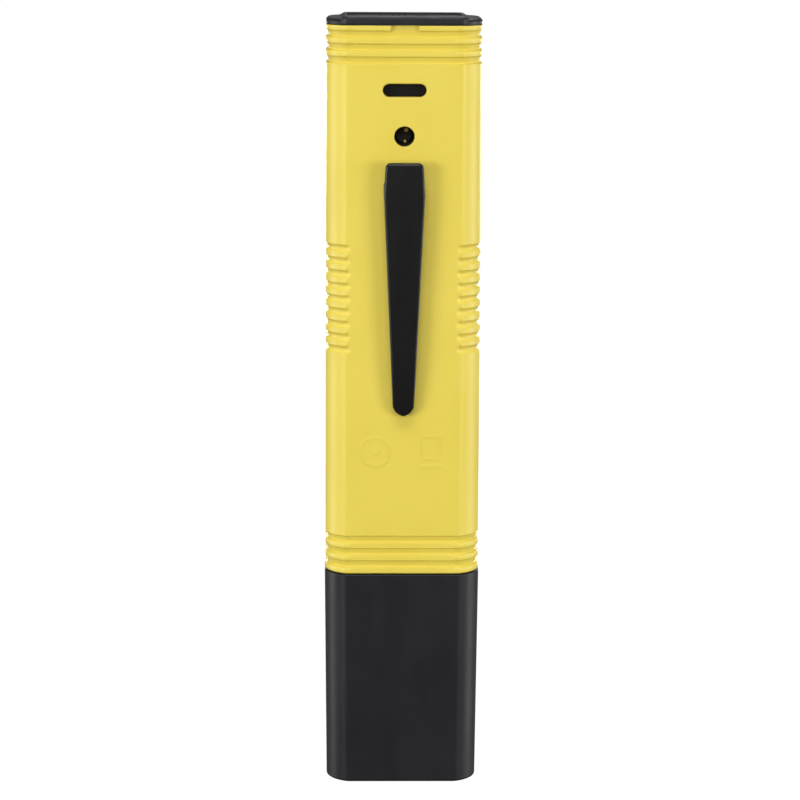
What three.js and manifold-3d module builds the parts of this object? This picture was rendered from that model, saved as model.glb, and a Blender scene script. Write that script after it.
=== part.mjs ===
// A pen-type digital pH meter, standing upright on its protective cap. Millimetres.
// The origin is the middle of the protective cap's flat underside. +Z runs up the pen and +X is its width.
// The back, with the pocket clip and the trimmer hole, faces -Y. The display faces +Y.
import * as THREE from "three";
import { mergeVertices } from "three/addons/utils/BufferGeometryUtils.js";
import Module from "manifold-3d";

const wasm = await Module();
wasm.setup();

// ---- Driving dimensions ----

const overallHeight = 150;
const housingHalfWidth = 14.95;
const housingHalfDepth = 9;
const flatHalfWidth = 11.1; // of the flat front and back faces, between the corners
const sideHalfDepth = 3; // of the straight band up each side
const wall = 1.8;
const seam = 0.15; // between pieces that meet face to face
const slideFit = 0.2; // between pieces that sit or slide in each other

const capHeight = 42; // of the protective cap
const lidHeight = 1.7; // of the black lid over the top of the housing
const housingBottom = capHeight + seam;
const housingTop = overallHeight - lidHeight;
const lidBottom = housingTop + seam;
const innerFace = housingHalfDepth - wall; // of the front wall; the back wall's is at minus this

const grooveHeight = 1;
const grooveDepth = 0.5;
const groovePitch = 2.45;
const endGrooves = 3; // at each end of the housing
const gripGrooves = 9; // down each side
const gripMiddle = 96.1;
const lowestGroove = housingBottom + 1.9;
const highestGroove = housingTop - 1.7;

const slotMiddle = 136.05;
const slotHeight = 2.5;
const slotHalfWidth = 4.15;
const trimmerHeight = 127.3;
const trimmerHoleRadius = 1.95;
const trimmerBack = -3;
const rotorRadius = 1.6;

const lensSeat = 7.9; // the face that the lens is glued to
const labelSeat = 8.65;
const labelHalfHeight = 20;
const labelMiddle = 80.5;

const clipTop = 122.6;
const clipTip = 74;
const clipShoulder = 116.4; // where the blade is widest
const clipFoot = 117.3; // the height of its foot, where it flexes
const clipNeck = { halfWidth: 2.4, halfHeight: 1.3 };

const boardBack = 0.5; // the circuit board's face towards the back
const boardThickness = 1.6;
const boardFront = boardBack + boardThickness;
const boardHalfWidth = 11.8;
const boardBottom = 60;
const boardTop = 130.9;
const screwPlaces = [
  [-8, 97.5],
  [8, 97.5],
  [0, 74],
];

const windowMiddle = 113;
const glassHalfWidth = 9.2; // of the display glass, and of the lens over it
const viewHalfWidth = 8.2;
const viewHalfHeight = 7.4;
const glassHalfHeight = 8.6;
const lensHalfHeight = 9.2;
const partsBack = boardBack - 0.1; // the face that parts on the board's back are set on

const cellRadius = 5.8;
const cellLength = 5.3;
const cellPitch = 5.4;
const cellCount = 4;
const stackHalfLength = (cellPitch * cellCount) / 2;
const contactX = stackHalfLength + 0.4; // the middle of each end contact
const trayBottom = 131.4;
const trayFloor = 1.2;
const cellMiddle = trayBottom + trayFloor + cellRadius + slideFit;
const trayTop = lidBottom - 0.1;
const switchSeat = 146.1;

const switchTravel = 2;
const knobMiddle = -switchTravel / 2; // at rest, with the meter switched off
const knob = { halfLength: 3.4, halfDepth: 2.2, top: overallHeight - 0.2 };
const lidPeg = { radius: 1, x: 10.9, bottom: 146.4 }; // under the lid, glued into the tray

const holderBottom = 35;
const holderTop = 52;
const sleeveRadius = 6.3;
const guardBottom = 7.2;
const guardTop = 13.6;
const boreRadius = 4.3;
const glassRadius = 3.9;
const junctionX = 5.35; // of the reference electrode's ceramic pin
const junctionRadius = 0.5;
const junctionDepth = 3.4;
const ringHeight = 1.4;
const capRingBottom = 37.5;
const bodyRingBottom = 46.3;

// ---- Shapes and solids ----

const around = 24; // sides of a round piece
const fewerSides = 16; // of a small one
const fewestSides = 12; // of one under 3 mm across
const arcSteps = 3; // each arc of an extruded outline has twice as many sides
const past = 1; // how far a cut runs past the face it starts from
const farOut = 20; // beyond every face of the object in X and Y

// A closed three.js geometry as a solid that can be joined and cut.
function solid(geometry) {
  const bare = geometry.index ? geometry.toNonIndexed() : geometry.clone();
  bare.deleteAttribute("normal");
  bare.deleteAttribute("uv");
  const merged = mergeVertices(bare, 1e-4);
  return new wasm.Manifold(
    new wasm.Mesh({
      numProp: 3,
      vertProperties: new Float32Array(merged.attributes.position.array),
      triVerts: new Uint32Array(merged.index.array),
    }),
  );
}

function geometryOf(body) {
  const mesh = body.getMesh();
  const geometry = new THREE.BufferGeometry();
  geometry.setAttribute("position", new THREE.BufferAttribute(mesh.vertProperties, 3));
  geometry.setIndex(new THREE.BufferAttribute(mesh.triVerts, 1));
  geometry.computeVertexNormals();
  return geometry;
}

function box([x0, x1], [y0, y1], [z0, z1]) {
  const geometry = new THREE.BoxGeometry(x1 - x0, y1 - y0, z1 - z0);
  return solid(geometry.translate((x0 + x1) / 2, (y0 + y1) / 2, (z0 + z1) / 2));
}

// A box centred on x = 0 and symmetrical front to back.
function block(halfWidth, halfDepth, heights) {
  return box([-halfWidth, halfWidth], [-halfDepth, halfDepth], heights);
}

function union(bodies) {
  return bodies.reduce((joined, body) => joined.add(body));
}

// An outline in X and Y, extruded up Z.
function upright(shape, [z0, z1]) {
  const options = { depth: z1 - z0, bevelEnabled: false, curveSegments: arcSteps };
  return solid(new THREE.ExtrudeGeometry(shape, options).translate(0, 0, z0));
}

// An outline in X and Z, extruded along Y.
function acrossDepth(shape, [y0, y1]) {
  const options = { depth: y1 - y0, bevelEnabled: false, curveSegments: arcSteps };
  const geometry = new THREE.ExtrudeGeometry(shape, options);
  return solid(geometry.rotateX(Math.PI / 2).translate(0, y1, 0));
}

// An outline in Y and Z, extruded along X.
function acrossWidth(shape, [x0, x1]) {
  const options = { depth: x1 - x0, bevelEnabled: false, curveSegments: arcSteps };
  const geometry = new THREE.ExtrudeGeometry(shape, options);
  geometry.applyMatrix4(new THREE.Matrix4().set(0, 0, 1, 0, 1, 0, 0, 0, 0, 1, 0, 0, 0, 0, 0, 1));
  return solid(geometry.translate(x0, 0, 0));
}

// A profile of [radius, distance] points, turned about a line through `middle` along `axis`.
function turned(profile, axis, middle, sides = around) {
  const points = profile.map(([radius, along]) => new THREE.Vector2(radius, along));
  const geometry = new THREE.LatheGeometry(points, sides);
  const up = new THREE.Vector3(0, 1, 0);
  geometry.applyQuaternion(new THREE.Quaternion().setFromUnitVectors(up, axis));
  return solid(geometry.translate(...middle));
}

const alongX = new THREE.Vector3(1, 0, 0);
const alongY = new THREE.Vector3(0, 1, 0);
const alongZ = new THREE.Vector3(0, 0, 1);

function rod(radius, [from, to], axis, middle = [0, 0, 0], sides = around) {
  const profile = [
    [0, from],
    [radius, from],
    [radius, to],
    [0, to],
  ];
  return turned(profile, axis, middle, sides);
}

function ring(innerRadius, outerRadius, [from, to], axis, middle = [0, 0, 0]) {
  const profile = [
    [innerRadius, from],
    [outerRadius, from],
    [outerRadius, to],
    [innerRadius, to],
    [innerRadius, from],
  ];
  return turned(profile, axis, middle);
}

// A tube of that radius along a smooth line through the points.
function wire(points, radius) {
  const line = new THREE.CatmullRomCurve3(points.map((p) => new THREE.Vector3(...p)));
  const section = new THREE.Shape().absarc(0, 0, radius, 0, 2 * Math.PI);
  return solid(
    new THREE.ExtrudeGeometry(section, {
      steps: 4 * points.length,
      extrudePath: line,
      curveSegments: 4,
      bevelEnabled: false,
    }),
  );
}

// A rectangle with rounded corners, centred on (0, middle).
function roundedRectangle(halfWidth, halfHeight, radius, middle = 0) {
  const x = halfWidth - radius;
  const y = halfHeight - radius;
  const quarter = Math.PI / 2;
  const shape = new THREE.Shape();
  shape.absarc(x, middle - y, radius, -quarter, 0);
  shape.absarc(x, middle + y, radius, 0, quarter);
  shape.absarc(-x, middle + y, radius, quarter, 2 * quarter);
  shape.absarc(-x, middle - y, radius, 2 * quarter, 3 * quarter);
  return shape;
}

// The pen's cross-section, that far inside the housing's own. The front and back are flat and the sides
// straight. Each corner is one arc, which runs smoothly into the side and meets the flat at a slight angle.
function penSection(inset) {
  const halfWidth = housingHalfWidth - inset;
  const cornerWidth = halfWidth - flatHalfWidth + inset / 2;
  const cornerDepth = housingHalfDepth - inset - sideHalfDepth;
  const radius = (cornerWidth ** 2 + cornerDepth ** 2) / (2 * cornerWidth);
  const sweep = Math.atan2(cornerDepth, radius - cornerWidth);
  const x = halfWidth - radius;
  const shape = new THREE.Shape();
  shape.absarc(x, -sideHalfDepth, radius, -sweep, 0);
  shape.absarc(x, sideHalfDepth, radius, 0, sweep);
  shape.absarc(-x, sideHalfDepth, radius, Math.PI - sweep, Math.PI);
  shape.absarc(-x, -sideHalfDepth, radius, Math.PI, Math.PI + sweep);
  return shape;
}

// An upright prism of that section whose outline steps in and out on the way up. Each level is [z, inset].
function steppedPrism(sectionInset, levels) {
  const last = levels.length - 1;
  const geometry = new THREE.ExtrudeGeometry(penSection(sectionInset), {
    depth: last,
    steps: last,
    bevelEnabled: false,
    curveSegments: arcSteps,
  });
  const { position } = geometry.attributes;
  for (let i = 0; i < position.count; i++) {
    const [z, inset] = levels[Math.round(position.getZ(i))];
    const x = position.getX(i) * (1 - inset / (housingHalfWidth - sectionInset));
    const y = position.getY(i) * (1 - inset / (housingHalfDepth - sectionInset));
    position.setXYZ(i, x, y, z);
  }
  return solid(geometry);
}

// The four levels of one groove between those heights.
function groove([bottom, top], depth) {
  return [
    [bottom, 0],
    [bottom, depth],
    [top, depth],
    [top, 0],
  ];
}

function grooveRow(lowest, count) {
  const middles = Array.from({ length: count }, (_, i) => lowest + i * groovePitch);
  return middles.flatMap((z) => groove([z - grooveHeight / 2, z + grooveHeight / 2], grooveDepth));
}

// ---- Housing ----

// The grooves down both sides, which stop where the flat faces begin.
function gripCuts() {
  const lowest = gripMiddle - ((gripGrooves - 1) / 2) * groovePitch - grooveHeight / 2;
  const heights = [lowest, lowest + grooveHeight];
  const band = upright(penSection(-past), heights).subtract(
    steppedPrism(0, [
      [heights[0] - past, grooveDepth],
      [heights[1] + past, grooveDepth],
    ]),
  );
  const sides = band.subtract(block(flatHalfWidth, farOut, [0, overallHeight]));
  return union(Array.from({ length: gripGrooves }, (_, i) => sides.translate([0, 0, i * groovePitch])));
}

// Both halves of the housing as one hollow body, open at the top and the bottom.
function housingBody() {
  const outside = steppedPrism(0, [
    [housingBottom, 0],
    ...grooveRow(lowestGroove, endGrooves),
    ...grooveRow(highestGroove - (endGrooves - 1) * groovePitch, endGrooves),
    [housingTop, 0],
  ]);
  const inside = upright(penSection(wall), [housingBottom - past, housingTop + past]);
  return outside.subtract(inside).subtract(gripCuts());
}

function rearShell() {
  const outwards = [-housingHalfDepth - past, -innerFace + past];
  const slotEnd = slotHeight / 2 - 0.01; // just short of a full half circle
  const slot = roundedRectangle(slotHalfWidth, slotHeight / 2, slotEnd, slotMiddle);
  const neckRoom = 0.35;
  const clipWindow = roundedRectangle(
    clipNeck.halfWidth + neckRoom,
    clipNeck.halfHeight + neckRoom,
    neckRoom,
    clipFoot,
  );
  const pryNotch = { x: 0.45, halfWidth: 2.7, height: 1.2, depth: 0.8 };
  const frontHalf = [-seam / 2, farOut];
  return housingBody()
    .subtract(box([-farOut, farOut], frontHalf, [0, overallHeight]))
    .subtract(acrossDepth(slot, outwards))
    .subtract(rod(trimmerHoleRadius, outwards, alongY, [0, 0, trimmerHeight]))
    .subtract(acrossDepth(clipWindow, outwards))
    .subtract(
      box(
        [pryNotch.x - pryNotch.halfWidth, pryNotch.x + pryNotch.halfWidth],
        [-housingHalfDepth - past, -housingHalfDepth + pryNotch.depth],
        [housingTop - pryNotch.height, housingTop + past],
      ),
    );
}

function frontShell() {
  const outwards = [innerFace - past, housingHalfDepth + past];
  const recessCorner = 1.2;
  const lensRecess = roundedRectangle(
    glassHalfWidth + slideFit,
    lensHalfHeight + slideFit,
    recessCorner,
    windowMiddle,
  );
  const view = roundedRectangle(viewHalfWidth, viewHalfHeight, 0.8, windowMiddle);
  const labelRecess = roundedRectangle(
    glassHalfWidth + slideFit,
    labelHalfHeight + slideFit,
    recessCorner,
    labelMiddle,
  );
  const boss = { radius: 2.1, pilotRadius: 0.9, back: boardFront + slideFit, sink: 0.2 };
  const bosses = screwPlaces.map(([x, z]) =>
    rod(boss.radius, [boss.back, innerFace + boss.sink], alongY, [x, 0, z], fewerSides),
  );
  const pilots = screwPlaces.map(([x, z]) =>
    rod(boss.pilotRadius, [boss.back - past, innerFace - boss.sink], alongY, [x, 0, z], fewestSides),
  );
  return housingBody()
    .subtract(box([-farOut, farOut], [-farOut, seam / 2], [0, overallHeight]))
    .subtract(acrossDepth(view, outwards))
    .subtract(acrossDepth(lensRecess, [lensSeat, housingHalfDepth + past]))
    .subtract(acrossDepth(labelRecess, [labelSeat, housingHalfDepth + past]))
    .add(union(bosses))
    .subtract(union(pilots));
}

function windowLens() {
  const outline = roundedRectangle(glassHalfWidth, lensHalfHeight, 1, windowMiddle);
  return acrossDepth(outline, [lensSeat + 0.1, housingHalfDepth - 0.1]);
}

function frontLabel() {
  const outline = roundedRectangle(glassHalfWidth, labelHalfHeight, 1, labelMiddle);
  return acrossDepth(outline, [labelSeat + 0.05, housingHalfDepth - 0.05]);
}

// ---- Pocket clip ----

// The blade seen from behind: widest at the shoulder, tapering to a round tip, with rounded upper corners.
function clipFace() {
  const topHalfWidth = 3.65;
  const shoulderHalfWidth = 3.84;
  const tipHalfWidth = 2.05;
  const tipLength = 1.7;
  const cornerRadius = 1;
  const shape = new THREE.Shape();
  shape.absellipse(0, clipTip + tipLength, tipHalfWidth, tipLength, Math.PI, 2 * Math.PI);
  shape.lineTo(shoulderHalfWidth, clipShoulder);
  shape.absarc(topHalfWidth - cornerRadius, clipTop - cornerRadius, cornerRadius, 0, Math.PI / 2);
  shape.absarc(cornerRadius - topHalfWidth, clipTop - cornerRadius, cornerRadius, Math.PI / 2, Math.PI);
  shape.lineTo(-shoulderHalfWidth, clipShoulder);
  return shape;
}

// The blade seen from the side, in Y and Z: it leans in slightly and its toe comes down to the housing.
function clipSide() {
  const outerFace = -12.8;
  const thickness = 1.6;
  const bendStart = clipTip + 12;
  const toe = { depth: -9.35, height: clipTip + 3.2 };
  const shape = new THREE.Shape();
  shape.moveTo(outerFace + thickness, clipTop + past);
  shape.lineTo(outerFace, clipTop + past);
  shape.lineTo(outerFace, clipShoulder);
  shape.lineTo(outerFace + 0.5, bendStart);
  shape.quadraticCurveTo(outerFace + 0.9, clipTip + 5, outerFace + 1.9, clipTip - past);
  shape.lineTo(toe.depth - 0.45, clipTip - past);
  shape.lineTo(toe.depth, toe.height);
  shape.lineTo(toe.depth - 1.15, toe.height + 6.4);
  return shape;
}

function pocketClip() {
  const halfReach = 6;
  const foot = { halfWidth: 3.95, halfHeight: 1.9, outer: -11.4, gap: 0.3 };
  const bar = { halfWidth: 3.6, outer: -innerFace + 0.3, inner: -innerFace + 1.3 };
  const near = (halfHeight) => [clipFoot - halfHeight, clipFoot + halfHeight];
  const blade = acrossWidth(clipSide(), [-halfReach, halfReach]).intersect(
    acrossDepth(clipFace(), [-farOut, 0]),
  );
  const footing = box(
    [-foot.halfWidth, foot.halfWidth],
    [foot.outer, -housingHalfDepth - foot.gap],
    near(foot.halfHeight),
  );
  const neck = box(
    [-clipNeck.halfWidth, clipNeck.halfWidth],
    [-housingHalfDepth - foot.gap - 0.7, bar.inner],
    near(clipNeck.halfHeight),
  );
  const crossBar = box([-bar.halfWidth, bar.halfWidth], [bar.outer, bar.inner], near(clipNeck.halfHeight));
  return union([blade, footing, neck, crossBar]);
}

// ---- Protective cap and electrode ----

function protectiveCap() {
  const flare = -0.15; // the cap stands this far proud of the housing at its mouth
  const floor = 2;
  const draft = 0.4; // how much narrower it is at the bottom, each side
  const outside = steppedPrism(flare, [
    [0, draft + 0.5],
    [0.2, draft + 0.18],
    [0.6, draft],
    [capHeight - 0.25, 0],
    [capHeight, 0.2],
  ]);
  const inside = steppedPrism(1.45, [
    [floor, draft - 0.05],
    [capHeight + past, 0],
  ]);
  return outside.subtract(inside);
}

const ringInset = 2.75; // of a sealing ring's inner edge
const ringSeatDepth = 0.85;

function sealingRing(bottom, outerInset) {
  const heights = [bottom, bottom + ringHeight];
  const hole = upright(penSection(ringInset), [heights[0] - past, heights[1] + past]);
  return upright(penSection(outerInset), heights).subtract(hole);
}

// The plug at the bottom of the housing, with the sleeve and the guard fingers around the glass.
function electrodeHolder() {
  const seat = (bottom) => groove([bottom - seam, bottom + ringHeight + seam], ringSeatDepth);
  const floor = 1.5;
  const chamfer = 0.5;
  const plug = steppedPrism(wall + slideFit, [
    [holderBottom, chamfer],
    [holderBottom + chamfer, 0],
    ...seat(capRingBottom),
    ...seat(bodyRingBottom),
    [holderTop, 0],
  ]);
  const hollow = upright(penSection(4), [holderBottom + floor, holderTop + past]);
  const sleeve = rod(sleeveRadius, [guardBottom, holderBottom + chamfer], alongZ);
  const bore = rod(boreRadius, [guardTop - past, holderBottom + 2 * floor], alongZ);
  const bulbRoom = rod(boreRadius + 0.4, [guardBottom - past, guardTop], alongZ);
  const windowHalfWidth = 2.6;
  const windows = [guardBottom - past, guardTop];
  const junctionHole = rod(
    junctionRadius + 0.15,
    [guardTop - past, guardTop + junctionDepth + slideFit],
    alongZ,
    [junctionX, 0, 0],
    fewestSides,
  );
  return plug
    .subtract(hollow)
    .add(sleeve)
    .subtract(bore)
    .subtract(bulbRoom)
    .subtract(block(windowHalfWidth, sleeveRadius + past, windows))
    .subtract(block(sleeveRadius + past, windowHalfWidth, windows))
    .subtract(junctionHole);
}

function ceramicJunction() {
  const heights = [guardTop - 0.3, guardTop + junctionDepth];
  return rod(junctionRadius, heights, alongZ, [junctionX, 0, 0], fewestSides);
}

// A thin bulb blown on the end of a tube that is open at the top.
function glassElectrode() {
  const bulbRadius = 3.5;
  const bulbMiddle = 11.3;
  const bulbWall = 0.45;
  const tubeWall = 0.7;
  const tubeTop = 58;
  const shoulder = 15.6;
  const turns = Array.from({ length: 8 }, (_, i) => i * 0.33);
  const bulb = (radius) =>
    turns.map((turn) => [radius * Math.sin(turn), bulbMiddle - radius * Math.cos(turn)]);
  const outside = bulb(bulbRadius);
  const inside = bulb(bulbRadius - bulbWall).reverse();
  outside[0][0] = 0;
  inside[inside.length - 1][0] = 0;
  return turned(
    [
      ...outside,
      [glassRadius, shoulder],
      [glassRadius, tubeTop],
      [glassRadius - tubeWall, tubeTop],
      [glassRadius - tubeWall, shoulder + 0.4],
      ...inside,
    ],
    alongZ,
    [0, 0, 0],
  );
}

function silverWire() {
  const sides = 8;
  return rod(0.4, [10.2, 61], alongZ, [0, 0, 0], sides);
}

// ---- Circuit board, display and leads ----

function mainPcb() {
  const holes = screwPlaces.map(([x, z]) =>
    rod(1.1, [0, boardFront + past], alongY, [x, 0, z], fewestSides),
  );
  const board = box([-boardHalfWidth, boardHalfWidth], [boardBack, boardFront], [boardBottom, boardTop]);
  return board.subtract(union(holes));
}

function pcbScrew([x, z]) {
  const headRadius = 1.9;
  const shankRadius = 0.7;
  const seat = boardBack - 0.05;
  const headTop = seat - 1.3;
  const tip = 6.4;
  const body = turned(
    [
      [0, headTop],
      [headRadius - 0.7, headTop],
      [headRadius, headTop + 0.5],
      [headRadius, seat],
      [shankRadius, seat],
      [shankRadius, tip - 0.8],
      [0, tip],
    ],
    alongY,
    [x, 0, z],
    fewerSides,
  );
  const driveDepth = [headTop - past, headTop + 0.6];
  const slotHalf = 0.2;
  const reach = 0.95;
  return body
    .subtract(box([x - slotHalf, x + slotHalf], driveDepth, [z - reach, z + reach]))
    .subtract(box([x - reach, x + reach], driveDepth, [z - slotHalf, z + slotHalf]));
}

function displayBox(halfWidth, halfHeight, depths) {
  return box([-halfWidth, halfWidth], depths, [windowMiddle - halfHeight, windowMiddle + halfHeight]);
}

const displayBack = 4;
const displayFront = 6.4;

function lcdHolder() {
  const back = boardFront + slideFit;
  const glassRoom = [back - past, displayFront + 0.1];
  return displayBox(10.4, 10.2, [back, innerFace - slideFit])
    .subtract(displayBox(glassHalfWidth + seam, glassHalfHeight + seam, glassRoom))
    .subtract(displayBox(viewHalfWidth, viewHalfHeight, [back, innerFace + past]));
}

function lcdGlass() {
  return displayBox(glassHalfWidth, glassHalfHeight, [displayBack + 0.1, displayFront]);
}

function zebraStrip(side) {
  const middle = windowMiddle + side * (glassHalfHeight - 1.1);
  const halfHeight = 0.9;
  const halfLength = 8.6;
  const heights = [middle - halfHeight, middle + halfHeight];
  return box([-halfLength, halfLength], [boardFront + slideFit, displayBack], heights);
}

function chipBlob() {
  const radius = 5;
  const height = 1.6;
  return turned(
    [
      [0, partsBack - height],
      [0.52 * radius, partsBack - 0.84 * height],
      [0.86 * radius, partsBack - 0.44 * height],
      [radius, partsBack],
      [0, partsBack],
    ],
    alongY,
    [0, 0, windowMiddle - 2],
  );
}

// A small package with four legs down each side.
function amplifierChip() {
  const bottom = 83.5;
  const halfWidth = 1.95;
  const legPitch = 1.27;
  const legReach = 3;
  const legHalf = 0.2;
  const legs = [];
  for (const side of [-1, 1]) {
    for (let i = 0; i < 4; i++) {
      const z = bottom + 0.55 + i * legPitch;
      const across = [side * (halfWidth - 0.05), side * legReach].sort((a, b) => a - b);
      legs.push(box(across, [partsBack - 0.85, partsBack], [z - legHalf, z + legHalf]));
    }
  }
  const casing = box([-halfWidth, halfWidth], [partsBack - 1.7, partsBack - 0.15], [bottom, bottom + 4.9]);
  return union([casing, ...legs]);
}

function canOnBoard(radius, length, [x, z]) {
  return rod(radius, [z, z + length], alongZ, [x, partsBack - radius, 0], fewerSides);
}

// A square trimmer with a round well for its rotor.
function trimmerBody() {
  const half = 3.2;
  const well = rod(
    rotorRadius + 0.15,
    [trimmerBack - past, trimmerBack + 1],
    alongY,
    [0, 0, trimmerHeight],
  );
  return box([-half, half], [trimmerBack, partsBack], [trimmerHeight - half, trimmerHeight + half]).subtract(
    well,
  );
}

function trimmerScrew() {
  const back = trimmerBack - 1;
  const slotHalf = 0.3;
  const disc = rod(rotorRadius, [back, trimmerBack + 0.9], alongY, [0, 0, trimmerHeight]);
  const slot = box(
    [-rotorRadius - past, rotorRadius + past],
    [back - past, back + 0.7],
    [trimmerHeight - slotHalf, trimmerHeight + slotHalf],
  );
  return disc.subtract(slot);
}

// A strip soldered to the board's back, bent over at the top to meet a contact of the battery tray.
function springContact(side) {
  const shape = new THREE.Shape();
  const thickness = 0.3;
  const bottom = 123.5;
  const top = trayBottom - 0.6;
  const reach = -1.4;
  shape.moveTo(partsBack, bottom);
  shape.lineTo(partsBack, top);
  shape.lineTo(reach, top);
  shape.lineTo(reach, top - thickness);
  shape.lineTo(partsBack - thickness, top - thickness);
  shape.lineTo(partsBack - thickness, bottom);
  const middle = side * contactX;
  const halfWidth = 0.5;
  return acrossWidth(shape, [middle - halfWidth, middle + halfWidth]);
}

// The two short leads from the electrode to the board.
const leadRadius = 0.45;
const signalRoute = [
  [0, 0, 61.5],
  [0.2, -1.1, 64],
  [1.6, -1.3, 66.5],
  [3.2, -0.3, 68.2],
];
const referenceRoute = [
  [-7, 0, 43],
  [-7, -1, 52],
  [-5.6, -2, 59],
  [-4, -1.2, 63.5],
  [-3.4, -0.3, 65.4],
];

// ---- Battery drawer and switch ----

function batteryTray() {
  const endInside = contactX + 0.35;
  const backInside = -cellRadius - 0.15;
  const cellRoof = cellMiddle + cellRadius + 0.3;
  const body = upright(penSection(wall + slideFit), [trayBottom, trayTop]);
  const cellRoom = box(
    [-endInside, endInside],
    [backInside, 2 * housingHalfDepth],
    [trayBottom + trayFloor, cellRoof],
  );
  const switchRoom = block(9, housingHalfDepth, [switchSeat, trayTop + past]);
  let tray = body.subtract(cellRoom).subtract(switchRoom);
  for (const side of [-1, 1]) {
    const tabSlot = [side * (endInside - 0.8), side * endInside].sort((a, b) => a - b);
    const socket = rod(
      lidPeg.radius + 0.15,
      [lidPeg.bottom - 0.2, trayTop + past],
      alongZ,
      [side * lidPeg.x, 0, 0],
      fewestSides,
    );
    tray = tray.subtract(box(tabSlot, [-2, 2], [trayBottom - past, trayBottom + 2 * trayFloor]));
    tray = tray.subtract(socket);
  }
  return tray;
}

// A plate behind the end of the cell stack, with a tab through the tray's floor.
function trayContact(side) {
  const faces = [side * contactX - 0.15, side * contactX + 0.15];
  const halfHeight = 4.5;
  const plate = box(faces, [-4, 4], [cellMiddle - halfHeight, cellMiddle + halfHeight]);
  const tab = box(faces, [-1.5, 1.5], [trayBottom - 0.3, cellMiddle - halfHeight + 0.5]);
  return plate.add(tab);
}

// A button cell on its side: the can, and the smaller cap of its other pole.
function cell(index) {
  const start = -stackHalfLength + index * cellPitch + (cellPitch - cellLength) / 2;
  const end = start + cellLength;
  const chamfer = 0.3;
  const cap = { radius: 4.5, length: 0.7 };
  return turned(
    [
      [0, start],
      [cellRadius - chamfer, start],
      [cellRadius, start + chamfer],
      [cellRadius, end - cap.length],
      [cap.radius, end - cap.length],
      [cap.radius - 0.2, end],
      [0, end],
    ],
    alongX,
    [0, 0, cellMiddle],
  );
}

function topCap() {
  const proud = 0.05; // of the housing, all round
  const raised = { halfWidth: 11.8, height: 0.4 }; // the middle, above the lower ends
  const windowHalfLength = knob.halfLength + switchTravel / 2 + 0.35;
  const lid = steppedPrism(-proud, [
    [lidBottom, 0],
    [overallHeight - 0.4, 0],
    [overallHeight - 0.12, 0.12],
    [overallHeight, 0.4],
  ]);
  const ends = block(farOut, farOut, [overallHeight - raised.height, overallHeight + past]).subtract(
    block(raised.halfWidth, farOut + past, [0, overallHeight + 2 * past]),
  );
  const knobWindow = upright(roundedRectangle(windowHalfLength, knob.halfDepth + 0.25, 0.5), [
    lidBottom - past,
    overallHeight + past,
  ]);
  const pegs = [-1, 1].map((side) =>
    rod(lidPeg.radius, [lidPeg.bottom, lidBottom + 0.3], alongZ, [side * lidPeg.x, 0, 0], fewestSides),
  );
  return union([lid.subtract(ends), ...pegs]).subtract(knobWindow);
}

// A box with a slot along its top for the knob's stem.
function switchBody() {
  const top = lidBottom - seam;
  const stemSlot = block(2.6, 0.9, [switchSeat + 0.9, top + past]);
  return block(4.6, 2.2, [switchSeat + 0.1, top]).subtract(stemSlot);
}

function switchKnob() {
  const padBottom = lidBottom + 0.2;
  const ends = [knobMiddle - knob.halfLength, knobMiddle + knob.halfLength];
  const grooves = { count: 3, pitch: 1.2, halfWidth: 0.25, depth: 0.3 };
  let pad = box(ends, [-knob.halfDepth, knob.halfDepth], [padBottom, knob.top]);
  for (let i = 0; i < grooves.count; i++) {
    const x = knobMiddle + (i - (grooves.count - 1) / 2) * grooves.pitch;
    const across = [x - grooves.halfWidth, x + grooves.halfWidth];
    pad = pad.subtract(box(across, [-4, 4], [knob.top - grooves.depth, overallHeight + past]));
  }
  const stem = { halfLength: 0.8, halfDepth: 0.7, heights: [switchSeat + 1.1, padBottom + 0.2] };
  const stemEnds = [knobMiddle - stem.halfLength, knobMiddle + stem.halfLength];
  return pad.add(box(stemEnds, [-stem.halfDepth, stem.halfDepth], stem.heights));
}

// ---- Materials and assembly ----

function finish(color, roughness, metalness = 0, extra = {}) {
  return new THREE.MeshStandardMaterial({ color, roughness, metalness, ...extra });
}

const clear = { transparent: true, opacity: 0.35 };
const yellowPlastic = finish(0xe3d058, 0.42);
const blackPlastic = finish(0x232227, 0.38);
const clipPlastic = finish(0x1e1f1e, 0.45);
const innerPlastic = finish(0x2a2b2c, 0.6);
const whitePlastic = finish(0xdcdcd6, 0.6);
const labelFilm = finish(0x2b2f36, 0.5);
const lensAcrylic = finish(0xb8c2c0, 0.08, 0, clear);
const displayGlass = finish(0x9aa58c, 0.2);
const sensorGlass = finish(0xd8ecec, 0.05, 0, clear);
const ceramic = finish(0xe8e4da, 0.8);
const blackRubber = finish(0x1a1a1a, 0.8);
const greenBoard = finish(0x1f5a34, 0.45);
const chipEpoxy = finish(0x141416, 0.35);
const trimmerBlue = finish(0x27508f, 0.45);
const brass = finish(0xc79a4a, 0.35, 1);
const steel = finish(0xb9bcc0, 0.3, 1);
const contactMetal = finish(0xc9ccce, 0.35, 1);
const silver = finish(0xd4d4d0, 0.3, 1);
const redLead = finish(0xa02a22, 0.5);
const blackLead = finish(0x1c1c1c, 0.5);

const meter = new THREE.Group();

function add(name, body, material) {
  const mesh = new THREE.Mesh(geometryOf(body), material);
  mesh.name = name;
  meter.add(mesh);
}

add("front_shell", frontShell(), yellowPlastic);
add("rear_shell", rearShell(), yellowPlastic);
add("window_lens", windowLens(), lensAcrylic);
add("front_label", frontLabel(), labelFilm);
add("pocket_clip", pocketClip(), clipPlastic);

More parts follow.
